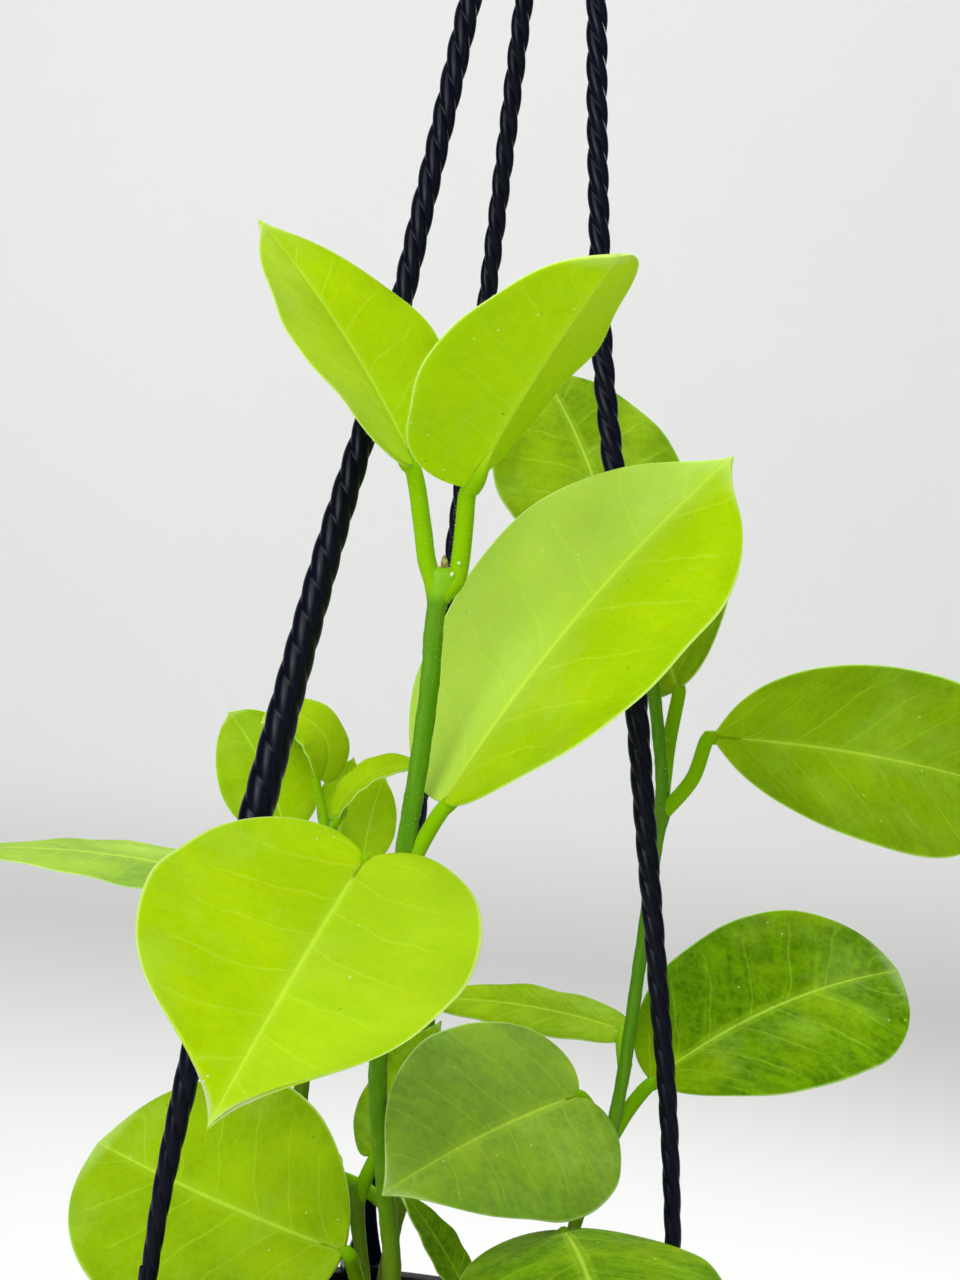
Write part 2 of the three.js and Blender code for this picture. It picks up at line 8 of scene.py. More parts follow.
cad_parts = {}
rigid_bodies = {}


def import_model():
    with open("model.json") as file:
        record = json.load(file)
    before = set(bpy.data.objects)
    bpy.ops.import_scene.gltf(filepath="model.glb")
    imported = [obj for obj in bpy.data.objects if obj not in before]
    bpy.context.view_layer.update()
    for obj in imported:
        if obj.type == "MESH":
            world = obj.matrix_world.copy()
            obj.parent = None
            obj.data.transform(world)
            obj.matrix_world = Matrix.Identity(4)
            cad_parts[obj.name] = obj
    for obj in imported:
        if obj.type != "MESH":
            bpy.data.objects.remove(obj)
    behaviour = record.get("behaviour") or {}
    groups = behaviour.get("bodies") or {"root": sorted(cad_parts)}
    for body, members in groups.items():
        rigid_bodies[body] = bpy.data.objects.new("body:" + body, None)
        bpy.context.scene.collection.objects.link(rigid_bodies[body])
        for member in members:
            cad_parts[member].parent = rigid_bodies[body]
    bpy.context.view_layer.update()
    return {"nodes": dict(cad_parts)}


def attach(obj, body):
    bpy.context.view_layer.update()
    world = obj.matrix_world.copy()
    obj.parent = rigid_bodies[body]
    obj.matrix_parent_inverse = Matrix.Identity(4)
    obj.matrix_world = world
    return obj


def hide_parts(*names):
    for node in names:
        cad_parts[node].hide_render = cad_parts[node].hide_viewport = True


for default in list(bpy.data.objects):
    bpy.data.objects.remove(default)
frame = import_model()
body = "root"
mm = 0.001
print("frame loaded,", len(frame["nodes"]), "nodes")


def placed(name, data):
    piece = bpy.data.objects.new(name, data)
    bpy.context.scene.collection.objects.link(piece)
    return piece


# the camera stands as the photograph was taken, in mm
camera = dict(place=(2.9, -420, 219), roll=6.1, focal=2270, tall=1280, sensor=36)
turn = math.radians(camera["roll"])
right = Vector((math.cos(turn), 0, math.sin(turn)))
up = Vector((-math.sin(turn), 0, math.cos(turn)))
cameraData = bpy.data.cameras.new("camera")
cameraData.sensor_width = camera["sensor"]
cameraData.lens = camera["sensor"] * camera["focal"] / camera["tall"]
cameraObject = placed("camera", cameraData)
spot = Matrix((right, up, Vector((0, -1, 0)))).transposed().to_4x4()
spot.translation = Vector(camera["place"]) * mm
cameraObject.matrix_world = spot
bpy.context.scene.camera = cameraObject


# shader writing
class Wire:
    # a value in a shader, with the usual signs
    def __init__(self, paint, socket):
        self.paint = paint
        self.socket = socket

    def math(self, operation, *others):
        node = self.paint.node("ShaderNodeMath", {"operation": operation}, [self, *others])
        return self.paint.wire(node)

    def __add__(self, other):
        return self.math("ADD", other)

    def __sub__(self, other):
        return self.math("SUBTRACT", other)

    def __rsub__(self, other):
        return (self * -1) + other

    def __mul__(self, other):
        return self.math("MULTIPLY", other)

    def __truediv__(self, other):
        return self.math("DIVIDE", other)

    def __rtruediv__(self, other):
        return (self.math("POWER", -1)) * other

    def __pow__(self, other):
        return self.math("POWER", other)

    __radd__ = __add__
    __rmul__ = __mul__

    def size(self):
        return self.math("ABSOLUTE")

    def step(self, low, high):
        # 0 below low, 1 above high, smooth between
        node = self.paint.node("ShaderNodeMapRange", {"interpolation_type": "SMOOTHSTEP"},
                               {"Value": self, "From Min": low, "From Max": high})
        return self.paint.wire(node)


class Paint:
    # one material and its nodes
    def __init__(self, name, **plain):
        self.material = bpy.data.materials.new(name)
        self.material.use_nodes = True
        self.tree = self.material.node_tree
        self.surface = self.tree.nodes["Principled BSDF"]
        for key, value in plain.items():
            self.surface.inputs[key.replace("_", " ")].default_value = value

    def node(self, kind, settings=None, inputs=None):
        node = self.tree.nodes.new(kind)
        for key, value in (settings or {}).items():
            if key == "stops":
                ramp = node.color_ramp.elements
                while len(ramp) < len(value):
                    ramp.new(0.5)
                for stop, (at, colour) in zip(ramp, value):
                    stop.position = at
                    stop.color = (*colour, 1)
            else:
                setattr(node, key, value)
        pairs = inputs.items() if isinstance(inputs, dict) else enumerate(inputs or [])
        for key, value in pairs:
            if isinstance(value, Wire):
                self.tree.links.new(value.socket, node.inputs[key])
            elif value is not None:
                node.inputs[key].default_value = (*value, 1) if node.inputs[key].type == "RGBA" else value
        return node

    def wire(self, node, output=0):
        return Wire(self, node.outputs[output])

    def place(self):
        return self.wire(self.node("ShaderNodeTexCoord"), "Object")

    def attribute(self, name):
        return self.wire(self.node("ShaderNodeAttribute", {"attribute_name": name}), "Fac")

    def noise(self, scale, detail=3, rough=0.55, vector=None):
        node = self.node("ShaderNodeTexNoise", None,
                         {"Vector": vector or self.place(), "Scale": scale, "Detail": detail,
                          "Roughness": rough})
        return self.wire(node, "Fac")

    def blend(self, share, first, second):
        # inputs 6 and 7 are the two colours of a Mix node, output 2 its colour
        node = self.node("ShaderNodeMix", {"data_type": "RGBA"}, {0: share, 6: first, 7: second})
        return self.wire(node, 2)

    def part(self, vector, output):
        return self.wire(self.node("ShaderNodeSeparateXYZ", None, [vector]), output)

    def ramp(self, value, stops):
        return self.wire(self.node("ShaderNodeValToRGB", {"stops": stops}, [value]))

    def bump(self, height, distance, strength=1.0):
        node = self.node("ShaderNodeBump", None,
                         {"Height": height, "Distance": distance, "Strength": strength})
        self.feed("Normal", self.wire(node))

    def feed(self, name, wire):
        self.tree.links.new(wire.socket, self.surface.inputs[name])


lightReach = (0.6, 1.0, 0.25)   # how far red, green and blue travel inside the green parts


def leafMaterial(name, look):
    paint = Paint(name, IOR=look["gloss"], Specular_IOR_Level=look["shine"],
                  Subsurface_Weight=look["glow"], Subsurface_Radius=lightReach,
                  Subsurface_Scale=look["depth"])
    uv = paint.wire(paint.node("ShaderNodeUVMap", {"uv_map": "blade"}))
    across = paint.part(uv, "X") * 2 - 1
    along = paint.part(uv, "Y")
    out = across.size()
    shade = paint.attribute("shade")
    upper = paint.attribute("upper")
    stalk = paint.attribute("stalk")
    blade = 1 - stalk

    # side veins leave the midrib in pairs and sweep towards the tip
    wander = paint.noise(90, 2) - 0.5
    pair = along * look["veins"] - (out ** 0.8) * look["sweep"]
    pair = pair + across.step(-0.01, 0.01) * look["stagger"] + wander * look["wander"]
    near = (pair.math("FRACT") - 0.5).size()
    side = (1 - near.step(0.0, look["veinWidth"])) * (1 - out.step(0.6, 0.95)) * out.step(0.01, 0.06)
    rib = 1 - (out / (1.7 - along)).step(0.0, look["ribWidth"])
    # a painted shadow line either side of the midrib, fading towards the tip
    ribShadow = (1 - ((out - 0.055).size()).step(0.0, 0.03)) * (1 - along)
    fineCells = paint.node("ShaderNodeTexVoronoi", {"feature": "DISTANCE_TO_EDGE"},
                           {"Vector": paint.place(), "Scale": 520.0})
    mesh = 1 - paint.wire(fineCells).step(0.0, 0.25)
    veinSpace = paint.node("ShaderNodeCombineXYZ", None, [pair * 2.2, across * 1.1, shade * 9])
    streak = paint.noise(1.6, 5, 0.66, vector=paint.wire(veinSpace))

    # colour: lime where young, deeper green where old, in soft clouds; the per-leaf shade mark is partly
    # painted shade on leaves lying behind or below others, and the darkening towards the rim is painted
    # shade where the blade curves away from the light
    cloud = paint.noise(34, 3, 0.6) - 0.5
    depth = shade + cloud * look["clouds"] + out.step(0.55, 1.0) * look["edge"] * blade
    colour = paint.blend(depth, look["lime"], look["deep"])
    # lighter yellow-green patches, painted as spots of light on the blade
    patch = paint.noise(60, 3).step(0.45, 0.7)
    colour = paint.blend(patch * look["patches"] * blade, colour, look["litYellow"])
    mottle = paint.noise(420, 4, 0.7).step(0.35, 0.7)
    colour = paint.blend(mottle * look["mottle"], colour, look["dim"])
    colour = paint.blend(ribShadow * look["ribShadow"] * blade, colour, look["dim"])
    colour = paint.blend(streak.step(0.42, 0.7) * look["streaks"] * blade, colour, look["dim"])
    # pale film in hazy streaks that follow the side veins: partly wax, mostly a painted sheen, strongest on
    # the halves of the blade that the light glances off
    haze = paint.noise(46, 4, 0.65)
    paintedSheen = paint.attribute("bloom") * (0.55 + 0.6 * haze)
    paintedSheen = (paintedSheen + haze.step(0.48, 0.75) * (0.06 + 0.22 * streak)) * (1.25 - streak * 0.5)
    colour = paint.blend(paintedSheen * blade, colour, look["paleSheen"])
    colour = paint.blend((1 - upper) * blade * look["paleUnder"], colour, look["under"])
    halo = 1 - out.step(0.0, 0.1)
    veined = (side * 0.15 + mesh * 0.05 + rib * 0.4 + halo * 0.14) * blade
    colour = paint.blend(veined, colour, look["vein"])
    rim = out.step(0.972, 0.998) * 0.35 + along.step(0.93, 1.0) * 0.25
    colour = paint.blend(rim * blade, colour, look["rim"])

    # small dark and pale specks
    dots = paint.node("ShaderNodeTexVoronoi", None, {"Vector": paint.place(), "Scale": look["dots"]})
    pick = paint.part(paint.wire(dots, "Color"), "X")
    spot = (1 - paint.wire(dots, "Distance").step(0.04, 0.1)) * blade
    colour = paint.blend(spot * pick.step(0.88, 0.89) * 0.7, colour, look["speck"])
    colour = paint.blend(spot * (1 - pick.step(0.2, 0.21)) * 0.45, colour, look["rim"])
    colour = paint.blend(stalk * 0.8, colour, look["stalk"])
    paint.feed("Base Color", colour)
    paint.feed("Roughness", look["rough"] + paint.noise(140, 3) * 0.16 - upper * 0.04)
    grain = paint.noise(900, 3, 0.6)
    height = side * 0.35 * (0.5 - upper) + mesh * 0.05 + grain * 0.12 + paint.noise(120, 2) * 0.4
    paint.bump(height, 0.00025, 0.55)
    return paint.material


leafLook = dict(
    lime=(0.45, 0.64, 0.0005), deep=(0.062, 0.158, 0.0005), litYellow=(0.49, 0.70, 0.001),
    dim=(0.24, 0.50, 0.001), under=(0.46, 0.70, 0.01), vein=(0.56, 0.80, 0.06),
    rim=(0.72, 0.90, 0.40), paleSheen=(0.46, 0.68, 0.13), speck=(0.10, 0.16, 0.03), stalk=(0.175, 0.40, 0.002),
    veins=6.5, sweep=1.5, stagger=0.4, wander=0.5, veinWidth=0.05, ribWidth=0.022, dots=330.0,
    clouds=0.42, edge=0.12, patches=0.28, mottle=0.26, ribShadow=0.35, streaks=0.3, paleUnder=0.25,
    gloss=1.15, shine=0.03, glow=0.5, depth=0.0012, rough=0.42,
)
leafSurface = leafMaterial("hoya leaf", leafLook)


def stemMaterial(name, look):
    paint = Paint(name, IOR=look["gloss"], Specular_IOR_Level=look["shine"],
                  Subsurface_Weight=look["glow"], Subsurface_Radius=lightReach,
                  Subsurface_Scale=look["depth"])
    age = paint.attribute("age")
    stretched = paint.node("ShaderNodeMapping", None, {"Vector": paint.place(), "Scale": look["fibres"]})
    streak = paint.noise(1.0, 4, 0.6, vector=paint.wire(stretched))
    colour = paint.ramp(age, [(at, look[stage]) for at, stage in look["ages"]])
    colour = paint.blend(streak.step(0.35, 0.75) * 0.35, colour, look["streak"])
    scar = paint.attribute("knot") * paint.noise(700, 2).step(0.4, 0.62)
    colour = paint.blend(scar * 0.5, colour, look["scar"])
    paint.feed("Base Color", colour)
    paint.feed("Roughness", 0.36 + age * 0.22 + streak * 0.1)
    paint.bump(streak * 0.5 + paint.noise(1300, 2) * 0.3, 0.0001, 0.6)
    return paint.material


stemLook = dict(
    ages=((0.0, "lime"), (0.15, "fresh"), (0.5, "green"), (0.8, "olive"), (1.0, "bark")),
    lime=(0.19, 0.42, 0.003), fresh=(0.07, 0.225, 0.0005), green=(0.09, 0.22, 0.0005),
    olive=(0.12, 0.19, 0.008), bark=(0.13, 0.13, 0.03), streak=(0.20, 0.36, 0.02),
    scar=(0.24, 0.15, 0.05), fibres=(900, 900, 70), gloss=1.25, shine=0.35, glow=0.25, depth=0.001,
)
stemSurface = stemMaterial("hoya stem", stemLook)


dustColour = (0.25, 0.24, 0.22)


def plasticMaterial(name, base, rough, grain, lift):
    paint = Paint(name, Specular_IOR_Level=0.12)
    cloud = paint.noise(60, 3)
    colour = paint.blend(cloud.step(0.3, 0.8) * 0.5, base, tuple(c * 1.7 for c in base))
    dust = paint.noise(1500, 2).step(0.72, 0.8) * paint.noise(45, 2).step(0.5, 0.75)
    colour = paint.blend(dust * 0.1, colour, dustColour)
    paint.feed("Base Color", colour)
    paint.feed("Roughness", rough + paint.noise(200, 3) * 0.12)
    paint.bump(paint.noise(grain, 2, 0.5) * 0.6 + paint.noise(grain * 0.22, 2) * 0.4, lift, 0.5)
    return paint.material


hangerSurface = plasticMaterial("twisted black plastic", (0.0004, 0.0012, 0.0062), 0.25, 1900, 0.00006)
potSurface = plasticMaterial("black pot plastic", (0.004, 0.0045, 0.006), 0.42, 1400, 0.00012)


def soilMaterial(name, dark, light, fleck):
    paint = Paint(name, Specular_IOR_Level=0.2)
    crumb = paint.noise(420, 5, 0.7)
    colour = paint.ramp(crumb, [(0.25, dark), (0.55, light), (0.8, fleck)])
    patch = paint.noise(70, 2).step(0.4, 0.7)
    paint.feed("Base Color", paint.blend(patch * 0.5, colour, dark))
    paint.feed("Roughness", 0.85 + crumb * 0.12)
    paint.bump(crumb + paint.noise(1500, 3) * 0.4, 0.0006, 0.9)
    return paint.material


soilSurface = soilMaterial("peat", (0.012, 0.008, 0.005), (0.045, 0.026, 0.015), (0.13, 0.085, 0.05))
barkSurface = soilMaterial("bark crumbs", (0.025, 0.013, 0.008), (0.09, 0.05, 0.028), (0.2, 0.13, 0.08))
perliteSurface = soilMaterial("perlite", (0.5, 0.49, 0.46), (0.72, 0.71, 0.68), (0.8, 0.79, 0.77))


def speckledMaterial(name, first, second, shine, noise, low):
    paint = Paint(name, Specular_IOR_Level=shine, Roughness=0.5)
    paint.feed("Base Color", paint.blend(paint.noise(*noise).step(low, 1 - low), first, second))
    return paint.material


downSurface = speckledMaterial("down", (0.62, 0.8, 0.35), (0.8, 0.88, 0.6), 0.3, (400, 1), 0.3)
budSurface = speckledMaterial("bud", (0.20, 0.12, 0.02), (0.34, 0.42, 0.10), 0.4, (1400, 2), 0.35)
dropSurface = speckledMaterial("sap drop", (0.55, 0.72, 0.35), (0.72, 0.82, 0.6), 0.4, (1400, 2), 0.35)
print("materials ready")


# mesh helpers; shapes are worked out in mm
def mark(mesh, name, values):
    layer = mesh.attributes.new(name, "FLOAT", "POINT")
    layer.data.foreach_set("value", np.asarray(values, np.float32))


def solid(name, points, faces, material, marks=None, uv=None, smooth=True):
    mesh = bpy.data.meshes.new(name)
    mesh.from_pydata([tuple(p) for p in np.asarray(points) * mm], [], faces)
    for key, values in (marks or {}).items():
        mark(mesh, key, values)
    if uv is not None:
        layer = mesh.uv_layers.new(name="blade")
        corner = np.zeros(len(mesh.loops), np.int32)
        mesh.loops.foreach_get("vertex_index", corner)
        layer.data.foreach_set("uv", np.asarray(uv, np.float32)[corner].ravel())
    mesh.validate()
    mesh.materials.append(material)
    if smooth:
        mesh.shade_smooth()
    return placed(name, mesh)


def reworked(piece, change):
    # the piece's mesh after a change to its points and faces
    work = bmesh.new()
    work.from_mesh(piece.data)
    change(work)
    work.to_mesh(piece.data)
    work.free()
    return piece


def outward(piece, merge=0):
    # faces point out of the closed form
    def turn(work):
        if merge:
            bmesh.ops.remove_doubles(work, verts=work.verts, dist=merge)
        bmesh.ops.recalc_face_normals(work, faces=work.faces)
    return reworked(piece, turn)


def applied(piece):
    # the piece with its modifiers made real
    made = bpy.data.meshes.new_from_object(piece.evaluated_get(bpy.context.evaluated_depsgraph_get()))
    made.name = piece.name
    piece.modifiers.clear()
    piece.data = made
    return piece


def finished(piece, slot, *nodes):
    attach(piece, body)
    if nodes:
        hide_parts(*nodes)
    return piece


def spline(points, count):
    # smooth curve through points, evenly spaced along its length
    p = np.asarray(points, float)
    p = np.vstack([2 * p[0] - p[1], p, 2 * p[-1] - p[-2]])
    fine = []
    for i in range(1, len(p) - 2):
        a, b, c, d = p[i - 1:i + 3]
        k1, k2, k3 = (math.sqrt(np.linalg.norm(q - p)) for p, q in ((a, b), (b, c), (c, d)))
        m1 = ((b - a) / k1 - (c - a) / (k1 + k2) + (c - b) / k2) * k2
        m2 = ((c - b) / k2 - (d - b) / (k2 + k3) + (d - c) / k3) * k2
        fine += [b + m1 * t + (3 * (c - b) - 2 * m1 - m2) * t ** 2 + (2 * (b - c) + m1 + m2) * t ** 3
                 for t in np.linspace(0, 1, 40, endpoint=False)]
    fine.append(p[-2])
    return evenly(np.array(fine), count)


def evenly(line, count):
    run = np.concatenate([[0], np.cumsum(np.linalg.norm(np.diff(line, axis=0), axis=1))])
    at = np.linspace(0, run[-1], count)
    return np.stack([np.interp(at, run, line[:, k]) for k in range(3)], 1)


def tube(line, radii, sides, start=0, tipRound=True):
    # rings along a line, carried without twist, with closed ends; rings and faces
    line = np.asarray(line, float)
    radii = np.broadcast_to(radii, len(line)).astype(float)
    ahead = np.gradient(line, axis=0)
    ahead /= np.linalg.norm(ahead, axis=1)[:, None]
    side = np.cross(ahead[0], (0.31, 0.17, 0.94))
    rings = []
    turns = 2 * np.pi * np.arange(sides) / sides
    if tipRound:
        r = radii[-1]
        extra = [(0.55, 0.83), (0.85, 0.5)]
        line = np.vstack([line, *[line[-1] + ahead[-1] * r * a for a, b in extra]])
        ahead = np.vstack([ahead, ahead[-1], ahead[-1]])
        radii = np.append(radii, [r * b for a, b in extra])
    for at, way, r in zip(line, ahead, radii):
        side = side - way * side.dot(way)
        side /= np.linalg.norm(side)
        other = np.cross(way, side)
        rings.append(at + r * (np.cos(turns)[:, None] * side + np.sin(turns)[:, None] * other))
    points = [q for ring in rings for q in ring] + [line[0], line[-1] + ahead[-1] * radii[-1] * 0.2]
    faces = []
    n = len(rings)
    for i in range(n - 1):
        for j in range(sides):
            k = (j + 1) % sides
            a = start + i * sides
            faces.append((a + j, a + k, a + sides + k, a + sides + j))
    first, last = start + n * sides, start + n * sides + 1
    for j in range(sides):
        k = (j + 1) % sides
        faces.append((start + k, start + j, first))
        faces.append((start + (n - 1) * sides + j, start + (n - 1) * sides + k, last))
    return np.array(points), faces


# stems
# heights in mm: root is where a stem starts in the soil, old where bark begins to turn green
stemShape = dict(sides=20, swell=0.35, reach=2.5, scar=1.6, root=60, old=150, fade=70, tall=120,
                 youngest=0.15)
fork = dict(stem="front", foot=224.7, rim=229.4, half=3.65, deep=0.15, flare=0.85)
stems = [
    dict(name="front", radius=1.65, nodes=(174,),
         points=[(-1, -13, 60), (-0.6, -16, 104), (-3.4, -20, 121), (-6.8, -26, 143),
                 (-6.4, -31, 163), (-6, -34, 182), (-5.2, -35, 196), (-4.8, -35, 211),
                 (-5.1, -35, 221), (-4.9, -35, 225), (-4.15, -35.1, 229.2)]),
    dict(name="right", radius=1.25, nodes=(128, 191, 227),
         points=[(27, 9, 60), (32.3, 6, 112), (37, 4, 130), (39, 4, 163),
                 (39.7, 5, 183), (40.2, 6, 192), (37.1, 10, 211), (32.5, 14, 230)]),
    dict(name="left", radius=1.25, nodes=(131, 159, 177),
         points=[(-15, 14, 60), (-20, 19, 105), (-22.4, 19.5, 131), (-23.5, 15, 152),
                 (-22.5, 12.5, 168), (-21.5, 12.5, 181)]),
    dict(name="middle", radius=1.3, nodes=(94, 111),
         points=[(-4, -1, 60), (-4.6, 0, 80), (-5.4, 1, 95), (-9.6, 5, 114)]),
    dict(name="back", radius=1.4, nodes=(110, 149),
         points=[(-4, 24, 60), (-2, 28, 98), (1.5, 30, 122), (0, 32, 152)]),
    dict(name="low_right", radius=1.3, nodes=(91, 107),
         points=[(22, -14, 60), (25, -18, 88), (27, -21, 110)]),
    dict(name="low_middle", radius=1.2, nodes=(90,),
         points=[(18, -1, 60), (17.5, -2, 78), (16, -3, 93)]),
    dict(name="low_left", radius=1.3, nodes=(90,),
         points=[(-17, -13, 60), (-19, -17, 78), (-20, -19, 93)]),
    dict(name="low_back_left", radius=1.2, nodes=(90,),
         points=[(-24, 20, 60), (-27, 24, 78), (-29, 27, 93)]),
    dict(name="low_back_right", radius=1.2, nodes=(84,),
         points=[(14, 31, 60), (17, 34, 74), (18.5, 35, 87)]),
    dict(name="low_side", radius=1.2, nodes=(88,), points=[(36, -2, 60), (38, 0, 76), (39, 1, 91)]),
]
downy = []      # what carries fine hairs: points, faces, share of hairs


def stemAt(stem, z):
    line = spline(stem["points"], 400)
    return np.array([np.interp(z, line[:, 2], line[:, k]) for k in range(3)])


def openCup(points, line):
    # the fork's cup: the stem's last millimetres spread sideways
    rise = np.clip((points[:, 2] - fork["foot"]) / (fork["rim"] - fork["foot"]), 0, 1)
    spread = rise ** fork["flare"]
    made = points.copy()
    for k, most in ((0, fork["half"] / stems[0]["radius"] - 1), (1, fork["deep"])):
        middle = np.interp(points[:, 2], line[:, 2], line[:, k])
        made[:, k] = middle + (points[:, k] - middle) * (1 + most * spread)
    return made, spread


def nearNodes(stem, z, reach):
    return np.max([np.exp(-((z - n) / reach) ** 2) for n in stem["nodes"]], axis=0)


def makeStem(stem):
    look = stemShape
    line = spline(stem["points"], max(24, int(stem["points"][-1][2] - look["root"])))
    z = line[:, 2]
    wobble = 1 + 0.03 * np.sin(z * 0.9) + 0.02 * np.sin(z * 2.3 + 1)
    radii = stem["radius"] * (1 + look["swell"] * nearNodes(stem, z, look["reach"])) * wobble
    points, faces = tube(line, radii, look["sides"])
    height, fresh, top = points[:, 2], 0, z.max()
    if stem["name"] == fork["stem"]:
        points, fresh = openCup(points, line)
    age = (look["old"] - height) / look["fade"] if top > look["tall"] else (top + 25 - height) / 50
    young = look["youngest"]
    age = young + (1 - young) * np.clip(age, 0, 1) - young * np.clip(fresh * 3, 0, 1)
    name = "stem_" + stem["name"]
    piece = solid("fine_" + name, points, faces, stemSurface,
                  {"age": age, "knot": nearNodes(stem, height, look["scar"])})
    downy.append((points, faces, np.clip((height - look["old"]) / 60, 0.08, 0.5)))
    return finished(outward(piece), "stem", name)


for stem in stems:
    makeStem(stem)
print("stems ready")


# leaves
# aim: heading, rise and roll of the blade; size: its length and width
# node: where the stalk leaves the stem, base: where it meets the blade, via: what it passes between
# tone: 0 bright young lime, 1 deep old green; it also holds painted shade, darker for leaves that lie
# behind or below others
# bloom: pale wax and painted sheen on the left and right half; drip: how far the tip is drawn in; point:
# its spike
leafPlain = dict(fold=8, cup=-5, egg=0.15, lobe=2.5, tip=3, twist=0, wave=0.6, stalk=1, via=None,
                 tone=0.6, bloom=(0.02, 0.02), drip=0, point=0.5)
leafShape = dict(
    rows=60, thick=0.72, ribHeight=0.5, ribWidth=0.8, groove=0.14, soft=0.6, ripple=0.22,
    across=(0, 0.012, 0.03, 0.055, 0.09, 0.15, 0.23, 0.33, 0.44, 0.55, 0.66, 0.76, 0.85, 0.92, 0.962,
            0.985, 0.996, 1),
    lobeReach=0.4, tipReach=0.22, pointReach=0.08, dripReach=0.5, sheenEdge=14, bendSteps=24,
    stalkSides=12, stalkRings=34, stalkRadii=(1.42, 1.42, 1.38, 1.34, 1.25, 0.4), stalkMiddle=0.45,
    stalkArch=0.07, stalkLead=0.8,
)
